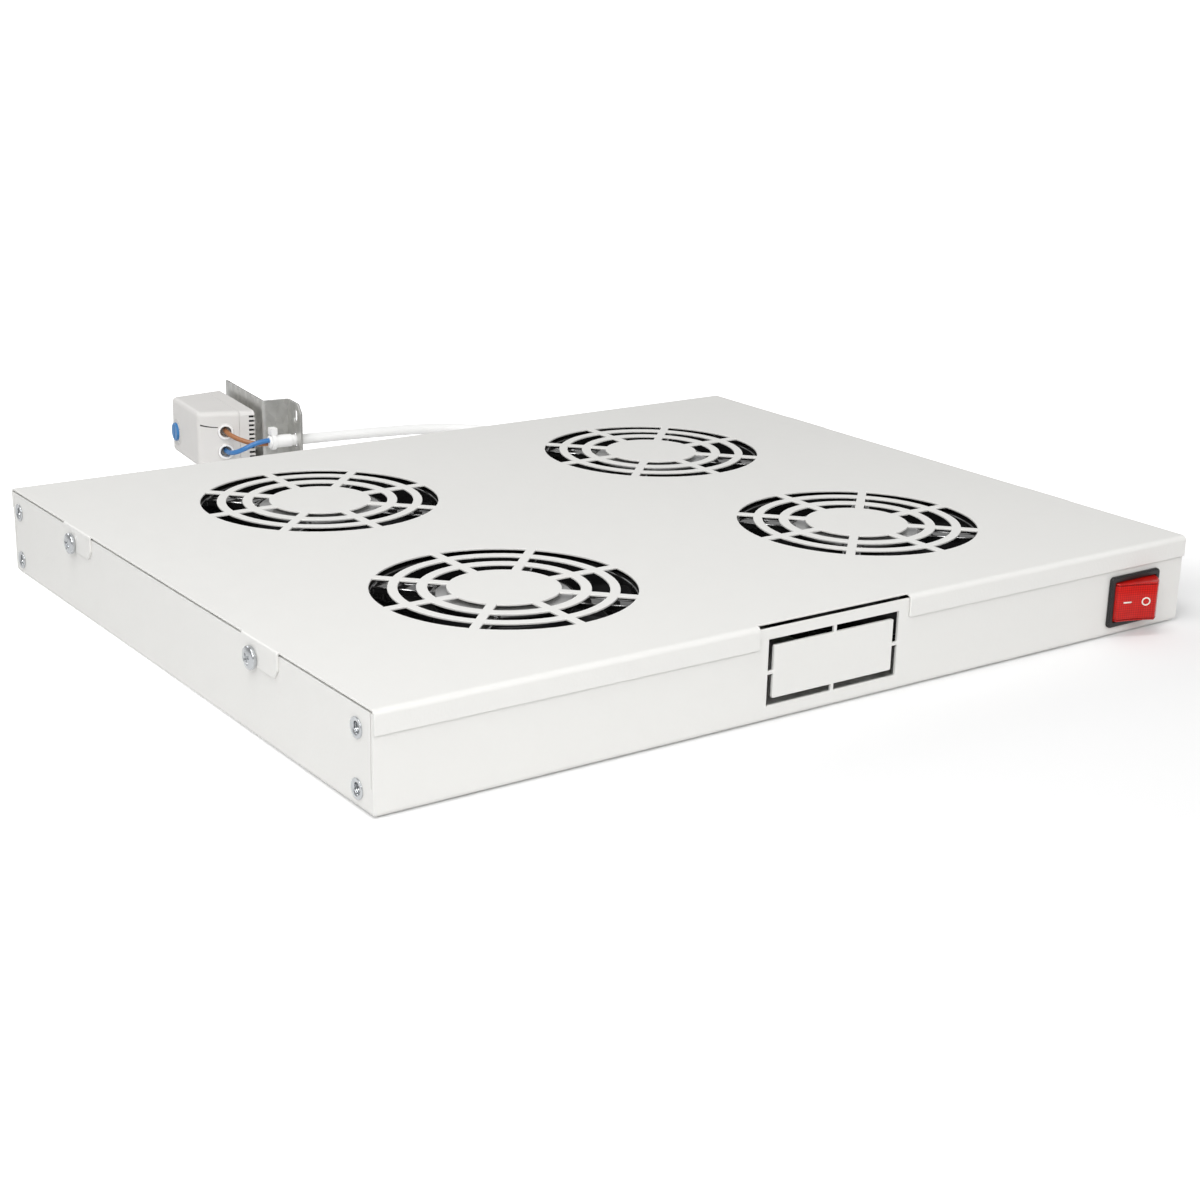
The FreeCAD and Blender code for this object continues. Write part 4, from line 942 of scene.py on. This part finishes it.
@dataclass
class Fan:
    """One axial fan: painted frame, bare disc on its motor plate, and a moulded impeller.

    A blade's section is half its chord, then the heights of its leading and trailing edges.
    """

    number: int
    frame_edge: float = 0.0007
    disc_radius: float = 0.0292
    disc: float = 0.00022
    disc_sink: float = 0.0001
    plate_top: float = 0.0392
    hub_radius: float = 0.030
    hub_wall: float = 0.002
    hub_low: float = 0.007
    hub_high: float = 0.0345
    hub_round: float = 0.0011
    bore_radius: float = 0.0016
    boss_radius: float = 0.004
    boss_top: float = 0.0135
    blades: int = 7
    blade_sink: float = 0.0012
    tip_radius: float = 0.0555
    blade_thickness: float = 0.0011
    tip_thinning: float = 0.35
    root_section: Point = (0.0105, 0.0105, 0.0300)
    tip_section: Point = (0.0185, 0.0125, 0.0275)
    camber: float = 0.0024
    camber_lean: float = 0.6
    strut_reach: Pair = (0.0305, 0.0572)
    strut_half: Pair = (0.00412, 0.0033)
    strut_edge: float = 0.0387
    strut_line: float = 0.0005

    def build(self, nodes: Nodes) -> None:
        """Makes the fan's visible pieces.

        Args:
            nodes: the solids.
        """
        frame = "fan_frame_%d" % self.number
        softened_copy(nodes, frame, "painted_" + frame, self.frame_edge, FAN_PAINT)
        middle = middle_of("fan_shaft_%d" % self.number)
        self.build_disc(middle)
        self.build_strut_lines(middle)
        self.build_impeller(middle)

    def build_disc(self, middle: Vector) -> None:
        """Makes the thin bare disc in place of a printed label.

        Args:
            middle: the middle of the fan's shaft.
        """
        inner, low = 0.001, -self.disc_sink
        profile = softened(np.array([(inner, self.disc), (self.disc_radius, self.disc),
                                     (self.disc_radius, low), (inner, low)]), 0.00008, closed=False)
        work = Patchwork()
        work.rings(revolved(profile, Place((middle.x, middle.y, self.plate_top), (0, 0, 1)), 96))
        settle(work.build("bare_disc_%d" % self.number), SILVER_LABEL)

    def build_strut_lines(self, middle: Vector) -> None:
        """Makes the bare upper edges of the four struts: thin bright rods from the motor plate to the duct.

        Args:
            middle: the middle of the fan's shaft.
        """
        work = Patchwork()
        around = np.linspace(0, FULL_TURN, 12, endpoint=False)[None, :, None]
        centre = np.array((middle.x, middle.y, self.strut_edge))
        for index in range(4):
            turn = (index + 0.5) * FULL_TURN / 4
            ahead = np.array((math.cos(turn), math.sin(turn), 0))
            aside = np.array((-math.sin(turn), math.cos(turn), 0))
            skin = self.strut_line * (np.cos(around) * aside + np.sin(around) * np.array((0.0, 0.0, 1.0)))
            for side in (-1, 1):
                ends = [centre + ahead * reach + aside * side * half
                        for reach, half in zip(self.strut_reach, self.strut_half)]
                work.rings(np.array(ends)[:, None, :] + skin)
        settle(work.build("bare_strut_edges_%d" % self.number), GROUND_STEEL)

    def blade_rings(self, start: float) -> np.ndarray:
        """Works out one blade as closed sections from the hub out to the tip.

        A section's place along the chord is cos v and its half thickness is the sine of v, thinner
        towards both edges. The chord, its tilt and its camber run evenly from root to tip, and each
        section is wrapped round the axis: its sideways distance over its radius is an angle.

        Args:
            start: the blade's place round the hub, as an angle.

        Returns:
            Rings, stations by around by 3.
        """
        share = np.linspace(0, 1, 18)[:, None]
        around = np.linspace(0, FULL_TURN, 36, endpoint=False)[None, :]
        inner = self.hub_radius - self.blade_sink
        radius = inner + share * (self.tip_radius - inner)
        root, tip = np.array(self.root_section), np.array(self.tip_section)
        half_chord, low, high = [root[i] + (tip[i] - root[i]) * share for i in range(3)]
        along = np.cos(around)
        bow = self.camber * (self.camber_lean + share) * (1 - along ** 2)
        thick = self.blade_thickness * np.sin(around) * (1 - self.tip_thinning * share)
        sideways = half_chord * along - bow * self.camber_lean - thick * 0.5
        height = (low + high) / 2 + (high - low) / 2 * along - bow + thick
        angle = start + sideways / radius
        return np.stack([radius * np.cos(angle), radius * np.sin(angle), height], axis=-1)

    def build_impeller(self, middle: Vector) -> None:
        """Makes the hub cup and its blades, on the fan's own rotor.

        Args:
            middle: the middle of the fan's shaft.
        """
        work = Patchwork()
        inner, floor = self.hub_radius - self.hub_wall, self.hub_low + self.hub_wall
        cup = np.array([(self.bore_radius, self.hub_low), (self.hub_radius, self.hub_low),
                        (self.hub_radius, self.hub_high), (inner, self.hub_high), (inner, floor),
                        (self.boss_radius, floor), (self.boss_radius, self.boss_top),
                        (self.bore_radius, self.boss_top)])
        place = Place((middle.x, middle.y, 0.0), (0, 0, 1))
        work.rings(revolved(softened(cup, self.hub_round), place, 96), looped=True)
        for index in range(self.blades):
            blade = self.blade_rings(index * FULL_TURN / self.blades)
            work.rings(blade + np.array((middle.x, middle.y, 0.0)))
        settle(work.build("moulded_impeller_%d" % self.number), FAN_PLASTIC, "fan_impeller_%d" % self.number,
               body="fan_rotor_%d" % self.number)


# Rocker switch


@dataclass
class RockerSwitch:
    """Black bezel and housing, and the dished red rocker with its two marks."""

    edge: float = 0.0004
    bezel_to_pivot: float = 0.0055
    face: float = 0.011
    half_length: float = 0.0096
    height: float = 0.0186
    dish: float = 0.0006
    wrap: float = math.radians(97)
    keel: Pair = (0.003, 0.005)
    tilt: float = math.radians(20)
    rounding: float = 0.0007
    groove_at: float = 0.0010
    groove_half: float = 0.00028
    groove: float = 0.00035
    mark_lift: float = 0.0001
    mark_sink: float = 0.0002
    mark_x: float = 0.0048
    bar_half: float = 0.0022
    bar_end: float = 0.00035
    ring_half: Pair = (0.0022, 0.00205)
    ring_line: float = 0.00062

    def build(self, nodes: Nodes) -> None:
        """Makes the housing, the rocker and the marks.

        Args:
            nodes: the solids.
        """
        softened_copy(nodes, "switch_housing", "switch_bezel", self.edge, SWITCH_PLASTIC, 3)
        low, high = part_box("switch_housing")
        pivot = np.array(((low.x + high.x) / 2, low.y + self.bezel_to_pivot, (low.z + high.z) / 2))
        work = Patchwork()
        work.rings(turned(self.rocker_rings(), -self.tilt, pivot))
        settle(work.build("dished_rocker"), RED_LENS, "switch_rocker", body=Body.ROCKER.value)
        marks = Patchwork()
        marks.rings(turned(self.bar_rings(), -self.tilt, pivot))
        marks.rings(turned(self.ring_rings(), -self.tilt, pivot), looped=True)
        settle(marks.build("rocker_marks"), MARK_PAINT, body=Body.ROCKER.value)

    def rocker_rings(self) -> np.ndarray:
        """Works out the rocker as outlines stacked along its height.

        The outline is a shallow arc in front, two round ends about the pivot and a keel behind.
        Near the top and the bottom it shrinks along its own normals by one minus the sine of the
        rounding's angle, and a narrow groove runs round it below the rounding.

        Returns:
            Rings, stations by around by 3.
        """
        start = math.atan2(self.half_length, self.face)
        sweep = math.hypot(self.half_length, self.face)
        across = np.linspace(-1, 1, 41)
        front = np.stack([across * self.half_length, -self.face + self.dish * (1 - across ** 2)], axis=-1)
        turn = np.linspace(start, self.wrap, 22)[1:]
        right = np.stack([np.sin(turn), -np.cos(turn)], axis=-1) * sweep
        keel = np.array([self.keel, (-self.keel[0], self.keel[1])])
        left = right[::-1] * np.array((-1, 1))
        outline = np.concatenate([front, right, keel, left])
        ahead = np.roll(outline, -1, axis=0) - np.roll(outline, 1, axis=0)
        normal = np.stack([ahead[:, 1], -ahead[:, 0]], axis=-1)
        normal /= np.linalg.norm(normal, axis=1, keepdims=True)
        bend = np.linspace(0, math.pi / 2, 6)
        trough = np.linspace(-1, 1, 9)
        inset = np.concatenate([self.rounding * (1 - np.sin(bend)),
                                self.groove * np.cos(math.pi / 2 * trough) ** 2])
        inset = np.concatenate([inset, inset[::-1]])
        level = np.concatenate([self.height / 2 - self.rounding * (1 - np.cos(bend)),
                                self.height / 2 - self.groove_at - self.groove_half * trough])
        level = np.concatenate([-level, level[::-1]])
        flat = outline[None] - normal[None] * inset[:, None, None]
        return np.concatenate([flat, np.broadcast_to(level[:, None, None], flat.shape[:2] + (1,))], axis=-1)

    def on_face(self, x: np.ndarray, z: np.ndarray, lift: np.ndarray) -> np.ndarray:
        """Lays points on the dished face: depth follows the dish's parabola, less the lift."""
        y = -self.face + self.dish * (1 - (x / self.half_length) ** 2) - lift
        return np.stack([x, y, z], axis=-1)

    def bar_rings(self) -> np.ndarray:
        """Works out the bar mark: a flat strip with round ends, closed above and below the face.

        Returns:
            Rings, stations by around by 3.
        """
        angle = np.linspace(0, FULL_TURN, 32, endpoint=False)
        reach = np.sign(np.cos(angle)) * (self.bar_half - self.bar_end)
        x = -self.mark_x + reach + self.bar_end * np.cos(angle)
        z = self.bar_end * np.sin(angle)
        lift = np.array((-self.mark_sink, self.mark_lift))[:, None]
        return self.on_face(x + 0 * lift, z + 0 * lift, lift + 0 * x)

    def ring_rings(self) -> np.ndarray:
        """Works out the ring mark: a flat band that follows an ellipse.

        Returns:
            Rings, stations by around by 3.
        """
        angle = np.linspace(0, FULL_TURN, 64, endpoint=False)[None, :]
        inset = np.array((0.0, self.ring_line, self.ring_line, 0.0))[:, None]
        lift = np.array((self.mark_lift, self.mark_lift, -self.mark_sink, -self.mark_sink))[:, None]
        x = self.mark_x + (self.ring_half[0] - inset) * np.cos(angle)
        z = (self.ring_half[1] - inset) * np.sin(angle)
        return self.on_face(x, z, lift + 0 * angle)


# Thermostat and its bracket


@dataclass
class Thermostat:
    """Two-part housing with cooling slots, a blue knob with ticks round it, and the slotted bracket.

    Its own frame has +X out of the rail side, +Y along its length and +Z up.
    """

    origin: Point = (-0.0312, 0.3208, 0.0225)
    yaw: float = math.radians(-6.5)
    depth: float = 0.032
    length: float = 0.064
    face: float = 0.048
    shell_edge: float = 0.0005
    thin_edge: float = 0.0002
    knob_edge: float = 0.0004
    knob_y: float = 0.0145
    knob_z: float = -0.0028
    knob_share: float = 0.88
    knob_ring: Pair = (0.00536, 0.0062)
    knob_ring_depth: float = 0.003
    dial_proud: float = 0.0006
    tick_start: float = 0.0065
    tick_ends: Pair = (0.0073, 0.0070)
    tick_half: float = 0.00014
    ticks: int = 9
    tick_span: float = math.radians(270)
    entry_x: float = -0.0165
    entries_z: Pair = (0.0048, -0.007)
    bush: Pair = (0.0033, 0.0044)
    bush_height: Pair = (0.0007, 0.0011)
    slots: int = 11
    slot_pitch: float = 0.00265
    slot_half: float = 0.00064
    # box of the dark blocks of painted shade in the slots
    slot_shade_box: tuple[float, float, float, float] = (-0.0032, -0.0004, 0.0251, 0.0309)
    seam_x: Pair = (-0.0305, -0.0195)
    seam_z: Pair = (0.0091, 0.0074)
    seam_width: Pair = (0.0008, 0.0004)

    def to_tray(self, local: np.ndarray) -> np.ndarray:
        """Returns points, any shape ending in 3, taken from the thermostat's frame to the tray's."""
        return turned(local, self.yaw, self.origin)

    def slope(self) -> float:
        """Returns how far each slanted end draws in over the depth, as a ratio."""
        return (self.length - self.face) / 2 / self.depth

    def entry(self, z: float) -> tuple[np.ndarray, np.ndarray]:
        """Finds a wire entry on the slanted near end.

        Args:
            z: the entry's height in the thermostat's frame.

        Returns:
            The point and the outward direction, in the tray's frame.
        """
        point = np.array((self.entry_x, -self.length / 2 - self.slope() * self.entry_x, z))
        outward = np.array((-self.slope(), -1.0, 0.0))
        outward /= np.linalg.norm(outward)
        return self.to_tray(point), self.to_tray(point + outward) - self.to_tray(point)

    def build(self, nodes: Nodes) -> None:
        """Makes the housing's shells, the clip, the knob, the bracket and the small pieces on the housing.

        Args:
            nodes: the solids.
        """
        for node, name, edge in (("thermostat_cover", "housing_front", self.shell_edge),
                                 ("thermostat_base", "housing_back", self.thin_edge),
                                 ("thermostat_clip", "rail_clip", self.thin_edge)):
            softened_copy(nodes, node, name, edge, THERMOSTAT_PLASTIC)
        knob = softened_copy(nodes, "thermostat_knob", "slotted_knob", self.knob_edge, BLUE_PLASTIC, 3,
                             Body.KNOB)
        softened_copy(nodes, "thermostat_bracket", "bent_bracket", self.thin_edge, GALVANISED)
        self.build_ticks()
        self.build_slots()
        self.build_seam()
        self.build_ring(knob)
        self.build_bushes()

    def build_ticks(self) -> None:
        """Makes the printed ticks round the knob, as thin plates on the dial's face."""
        work = Patchwork()
        turns = np.linspace(-self.tick_span / 2, self.tick_span / 2, self.ticks)
        lift = np.array((0.0001, -0.00004))[:, None]
        for index, turn in enumerate(turns):
            reach = self.tick_ends[index % 2]
            out = np.array((self.tick_start, reach, reach, self.tick_start))
            aside = np.array((-1, -1, 1, 1)) * self.tick_half
            across = out * math.sin(turn) + aside * math.cos(turn)
            up = out * math.cos(turn) - aside * math.sin(turn)
            x = -self.depth - self.dial_proud + lift + 0 * across
            local = np.stack([x, self.knob_y + across + 0 * lift, self.knob_z + up + 0 * lift], axis=-1)
            work.rings(self.to_tray(local))
        settle(work.build("dial_ticks"), PRINTED_GREY)

    def build_slots(self) -> None:
        """Makes painted shade that shows through the cooling slots: one dark block in each."""
        work = Patchwork()
        x0, x1, y0, y1 = self.slot_shade_box
        outline = np.array([(x0, y0), (x1, y0), (x1, y1), (x0, y1)])
        for index in range(self.slots):
            middle = (index - (self.slots - 1) / 2) * self.slot_pitch
            for side in (-1, 1):
                layers = [np.column_stack([outline * (1, side), np.full(4, middle + lift)])
                          for lift in (-self.slot_half, self.slot_half)]
                work.rings(self.to_tray(np.stack(layers)))
        settle(work.build("painted_slot_shade"), PAINTED_SHADE)

    def build_seam(self) -> None:
        """Makes a painted shadow line under the lid's edge, which sags from the front edge down to the upper
        entry.

        The seam's height falls by one minus the square of what is left of the way, and it narrows evenly.
        """
        way = np.linspace(0, 1, 24)
        x = self.seam_x[0] + (self.seam_x[1] - self.seam_x[0]) * way
        z = self.seam_z[0] + (self.seam_z[1] - self.seam_z[0]) * (1 - (1 - way) ** 2)
        half = (self.seam_width[0] + (self.seam_width[1] - self.seam_width[0]) * way) / 2
        corners = [np.stack([x, -self.length / 2 - self.slope() * x - lift, z + up * half], axis=-1)
                   for up, lift in ((1, 0.00005), (-1, 0.00005), (-1, -0.0002), (1, -0.0002))]
        work = Patchwork()
        work.rings(self.to_tray(np.stack(corners, axis=1)))
        settle(work.build("painted_lid_shadow"), PAINTED_SHADE)

    def build_ring(self, knob: bpy.types.Object) -> None:
        """Draws the knob in a little and fills the gap round it with a ring of the housing's plastic.

        Args:
            knob: the knob's piece.
        """
        axis = np.array(((0.0, self.knob_y, self.knob_z), (-1.0, self.knob_y, self.knob_z)))
        start, ahead = self.to_tray(axis)
        outward = ahead - start
        points = np.empty(3 * len(knob.data.vertices))
        knob.data.vertices.foreach_get("co", points)
        away = points.reshape(-1, 3) - start
        along = (away @ outward)[:, None] * outward
        knob.data.vertices.foreach_set("co", (start + along + (away - along) * self.knob_share).ravel())
        knob.data.update()
        (inner, outer), top, low = self.knob_ring, self.dial_proud + 0.00002, -self.knob_ring_depth
        profile = softened(np.array([(inner, top), (outer, top), (outer, low), (inner, low)]), 0.0002)
        place = Place(tuple(self.to_tray(np.array((-self.depth, self.knob_y, self.knob_z)))), tuple(outward))
        work = Patchwork()
        work.rings(revolved(profile, place, 72), looped=True)
        settle(work.build("dial_ring"), THERMOSTAT_PLASTIC)

    def build_bushes(self) -> None:
        """Makes the white bushes in the two wire entries, each a ring on its collar."""
        (inner, outer), (low, high) = self.bush, self.bush_height
        profile = softened(np.array([(inner, high), (outer, high), (outer, low), (inner, low)]), 0.00015)
        work = Patchwork()
        for z in self.entries_z:
            point, outward = self.entry(z)
            work.rings(revolved(profile, Place(tuple(point), tuple(outward)), 48), looped=True)
        settle(work.build("entry_bushes"), WHITE_SHEATH, slot=Slot.THERMOSTAT)


# Lead of the thermostat


@dataclass
class Lead:
    """The white lead from the rear wall to the thermostat: cable, sleeve, tie, two wires and grommet."""

    route: tuple[Point, ...] = (
        (0.118, 0.182, 0.020), (0.1186, 0.205, 0.0186), (0.118, 0.230, 0.0172), (0.1095, 0.253, 0.0172),
        (0.0915, 0.267, 0.0186), (0.068, 0.2705, 0.0204), (0.043, 0.2703, 0.0217), (0.0175, 0.2716, 0.0224),
        (-0.008, 0.2729, 0.0228), (-0.019, 0.2742, 0.0229))
    radius: float = 0.0031
    length: float = 0.2052
    tie_edge: float = 0.00018
    sleeve_end: Point = (-0.033, 0.2758, 0.023)
    sleeve_gap: float = 0.00015
    sleeve_radius: float = 0.0037
    pinch: float = 0.0003
    pinch_at: float = 0.0028
    pinch_width: float = 0.0016
    sleeve_lip: float = 0.0006
    sleeve_lip_run: float = 0.0007
    wire_radius: float = 0.0014
    wire_start: float = 0.006
    wire_bend: float = 0.0025
    wire_inside: float = 0.0055
    brown_length: float = 0.0336
    blue_length: float = 0.0401
    brown_approach: Point = (-0.047, 0.285, 0.024)
    blue_approach: Point = (-0.0515, 0.280, 0.0178)
    brown_seat: Point = (0.0, 0.0016, -0.0013)
    blue_seat: Point = (0.0, -0.0016, 0.0013)
    grommet_neck: float = 0.0055
    grommet_flange: float = 0.0075
    grommet_round: float = 0.0006
    grommet_wall: Pair = (0.001, 0.0025)

    def smooth_tube(self, name: str, points: tuple[Point, ...], radius: float) -> bpy.types.Object:
        """Makes a round lead whose line is a smooth spline with the points as its control points.

        Args:
            name: the piece's name.
            points: the route.
            radius: the lead's radius.

        Returns:
            The curve object.
        """
        curve = bpy.data.curves.new(name, "CURVE")
        curve.dimensions = "3D"
        spline = curve.splines.new("NURBS")
        spline.points.add(len(points) - 1)
        spline.points.foreach_set("co", [value for point in points for value in (*point, 1.0)])
        spline.order_u = 3
        spline.use_endpoint_u = True
        spline.use_smooth = True
        curve.resolution_u = 24
        curve.bevel_depth = radius
        curve.bevel_resolution = 8
        curve.use_fill_caps = True
        return linked(bpy.data.objects.new(name, curve))

    def build(self, nodes: Nodes, thermostat: Thermostat) -> None:
        """Args:
            nodes: the solids.
            thermostat: where the wires go.
        """
        cable = self.smooth_tube("white_lead", self.route, self.radius)
        settle(cable, WHITE_SHEATH, "thermostat_cable")
        sleeve = self.build_sleeve()
        tie = softened_copy(nodes, "cable_tie", "lead_tie", self.tie_edge, WHITE_SHEATH)
        upper, lower = (thermostat.entry(z) for z in thermostat.entries_z)
        brown = self.wire_route(upper, self.brown_approach, self.brown_seat)
        self.build_wire("brown_conductor", brown, BROWN_INSULATION, "brown_wire")
        blue = self.wire_route(lower, self.blue_approach, self.blue_seat)
        self.build_wire("blue_conductor", blue, BLUE_INSULATION, "blue_wire")
        self.build_grommet()

    def sleeve_run(self) -> tuple[np.ndarray, float]:
        """Returns the sleeve's direction, away from the cable, and its length."""
        run = np.array(self.sleeve_end) - np.array(self.route[-1])
        return run / np.linalg.norm(run), float(np.linalg.norm(run))

    def build_sleeve(self) -> bpy.types.Object:
        """Makes the sleeve: a round profile with soft ends, pulled in a little under the tie.

        Returns:
            The sleeve.
        """
        axis, run = self.sleeve_run()
        height = np.linspace(0.0001, run, 60)
        pinch = self.pinch * np.exp(-((height - run + self.pinch_at) / self.pinch_width) ** 2)
        end = np.minimum(height, run - height)
        lip = self.sleeve_lip * (1 - np.clip(end / self.sleeve_lip_run, 0, 1)) ** 2
        profile = np.stack([self.sleeve_radius - pinch - lip, height], axis=-1)
        work = Patchwork()
        work.rings(revolved(profile, Place(self.route[-1], tuple(axis)), 40))
        return settle(work.build("shrunk_sleeve"), WHITE_SHEATH, "cable_sleeve")

    def wire_route(self, entry: tuple[np.ndarray, np.ndarray], approach: Point,
                   seat: Point) -> tuple[Point, ...]:
        """Lays one conductor from the end of the sleeve into its entry in the thermostat.

        Args:
            entry: the entry's point and outward direction.
            approach: the point that shapes the wire's bend.
            seat: offset of the wire in the sleeve's end.

        Returns:
            The control points.
        """
        point, outward = entry
        axis, _ = self.sleeve_run()
        aside = np.array(seat)
        start = np.array(self.sleeve_end) + aside + axis * (self.sleeve_gap - aside @ axis)
        route = (start, start + axis * self.wire_start, np.array(approach), point + outward * self.wire_bend,
                 point - outward * self.wire_inside)
        return tuple(tuple(map(float, spot)) for spot in route)

    def build_wire(self, name: str, route: tuple[Point, ...], finish: Finish,
                   node: str) -> None:
        """Args:
            name: the piece's name.
            route: its control points.
            finish: its finish.
            node: the solid that it replaces.
        """
        wire = settle(self.smooth_tube(name, route, self.wire_radius), finish, node)

    def build_grommet(self) -> None:
        """Makes the rubber bush in the rear wall: a closed profile turned about the lead."""
        low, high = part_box("cable_grommet")
        inner, soft = self.radius - 0.00005, self.grommet_round
        neck, flange = self.grommet_neck, self.grommet_flange
        wall_in, wall_out = (low.y + depth for depth in self.grommet_wall)
        profile = np.array([(inner, high.y), (neck - soft, high.y), (flange, wall_out + soft),
                            (flange, wall_out), (neck, wall_out), (neck, wall_in), (flange, wall_in),
                            (flange, low.y), (inner, low.y)])
        place = Place(((low.x + high.x) / 2, 0.0, (low.z + high.z) / 2), (0, 1, 0))
        work = Patchwork()
        work.rings(revolved(softened(profile, soft), place, 64), looped=True)
        settle(work.build("rubber_grommet"), RUBBER, "cable_grommet")


# Pieces that keep their solids


@dataclass
class InnerWorks:
    """Everything inside the tray that keeps its own solid, and the inlet in the rear wall."""

    inlet_edge: float = 0.0003

    def build(self, nodes: Nodes) -> None:
        """Softens the inlet and dresses the kept solids.

        Args:
            nodes: the solids.
        """
        softened_copy(nodes, "inlet_body", "inlet_moulding", self.inlet_edge, SWITCH_PLASTIC)
        for name, node in nodes.items():
            finish = KEPT_FINISHES.get(name) or KEPT_FINISHES.get(name.rstrip("1234").rstrip("_"))
            if finish is None:
                continue
            for slot in node.material_slots:
                slot.material = finish.material()
            log.info("%s keeps its solid: %s", name, finish.title)


# Studio


@dataclass(frozen=True)
class Lamp:
    """One soft rectangular lamp that looks at the tray, with its power in watts."""

    name: str
    at: Point
    size: Pair
    power: float

    def hang(self) -> None:
        """Adds the lamp to the scene."""
        data = bpy.data.lights.new(self.name, "AREA")
        data.shape = "RECTANGLE"
        data.size, data.size_y = self.size
        data.energy = self.power
        lamp = linked(bpy.data.objects.new(self.name, data))
        lamp.location = self.at
        lamp.rotation_euler = (-Vector(self.at)).to_track_quat("-Z", "Y").to_euler()


@dataclass
class Studio:
    """Pale floor, white surroundings, soft lamps and the photograph's camera."""

    lens: float = 61.79
    sensor: float = 36.0
    camera_at: Point = (-0.55614, -0.78093, 0.30611)
    camera_turn: Point = (72.159, -1.363, -35.389)
    world_light: float = 0.42
    floor_half: float = 12.0
    floor_drop: float = 0.0004
    floor_white: float = 0.80
    floor_roughness: float = 0.9
    floor_shine: float = 0.1
    floor_focus: Point = (0.05, -0.32, 0.0)
    floor_near: float = 0.27
    floor_far: float = 0.51
    lift_near: float = 0.10
    lift_far: float = 0.9
    lamps: tuple[Lamp, ...] = (
        Lamp("key", (-1.05, -1.0, 0.95), (0.8, 0.6), 9.0),
        Lamp("top", (-0.6, -0.35, 1.5), (0.8, 0.8), 10.0),
        Lamp("back", (-0.5, 1.4, 0.9), (1.2, 0.6), 4.0),
        Lamp("front", (0.2, -1.5, 1.05), (1.2, 0.4), 6.0))

    def build(self) -> None:
        """Sets up the scene round the tray."""
        scene = bpy.context.scene
        scene.view_settings.view_transform = "Standard"
        self.build_camera(scene)
        self.build_world(scene)
        self.build_floor()
        for lamp in self.lamps:
            lamp.hang()

    def build_camera(self, scene: bpy.types.Scene) -> None:
        """Stands the camera where the photograph was taken from.

        Args:
            scene: the scene.
        """
        data = bpy.data.cameras.new("camera")
        data.lens = self.lens
        data.sensor_width = self.sensor
        data.clip_start = 0.01
        camera = linked(bpy.data.objects.new("camera", data))
        camera.location = self.camera_at
        camera.rotation_euler = [math.radians(angle) for angle in self.camera_turn]
        scene.camera = camera

    def build_world(self, scene: bpy.types.Scene) -> None:
        """Makes the surroundings: white where they are seen, dimmer as a light.

        Args:
            scene: the scene.
        """
        world = bpy.data.worlds.new("surroundings")
        world.use_nodes = True
        tree = world.node_tree
        path = add_node(tree, "LightPath").outputs
        seen = maths(tree, "MAXIMUM", path["Is Camera Ray"], path["Is Transmission Ray"])
        level = spread(tree, seen, (0.0, 1.0), (self.world_light, 1.0))
        feed(tree, tree.nodes["Background"], {"Color": WHITE, "Strength": level})
        scene.world = world

    def build_floor(self) -> None:
        """Makes the floor: matt, and whitened away from the front, where the shadow is to stay."""
        half = self.floor_half
        square = ((-1, -1), (1, -1), (1, 1), (-1, 1))
        corners = [(x * half, y * half, -self.floor_drop) for x, y in square]
        mesh = bpy.data.meshes.new("floor")
        mesh.from_pydata(corners, [], [(0, 1, 2, 3)])
        floor = linked(bpy.data.objects.new("floor", mesh))
        material = bpy.data.materials.new("pale floor")
        material.use_nodes = True
        tree = material.node_tree
        place = add_node(tree, "TexCoord").outputs["Object"]
        away = add_node(tree, "VectorMath", {0: place, 1: self.floor_focus}, operation="DISTANCE")
        lift = spread(tree, away.outputs["Value"], (self.floor_near, self.floor_far),
                      (self.lift_near, self.lift_far), interpolation_type="SMOOTHSTEP")
        shown = maths(tree, "MULTIPLY", add_node(tree, "LightPath").outputs["Is Camera Ray"], lift)
        feed(tree, tree.nodes["Principled BSDF"], {
            "Base Color": (*[self.floor_white] * 3, 1.0), "Roughness": self.floor_roughness,
            "Specular IOR Level": self.floor_shine, "Emission Color": WHITE, "Emission Strength": shown})
        mesh.materials.append(material)


def main() -> None:
    logging.basicConfig(level=logging.INFO, format="%(name)s: %(message)s")
    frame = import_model()
    nodes = frame["nodes"]
    GROUPS.build()
    Studio().build()
    thermostat = Thermostat()
    Lead().build(nodes, thermostat)
    thermostat.build(nodes)
    SheetMetal().build(nodes)
    Fasteners().build()
    for number in range(1, 5):
        Fan(number).build(nodes)
    RockerSwitch().build(nodes)
    InnerWorks().build(nodes)
    log.info("all pieces built")


if __name__ == "__main__":
    main()
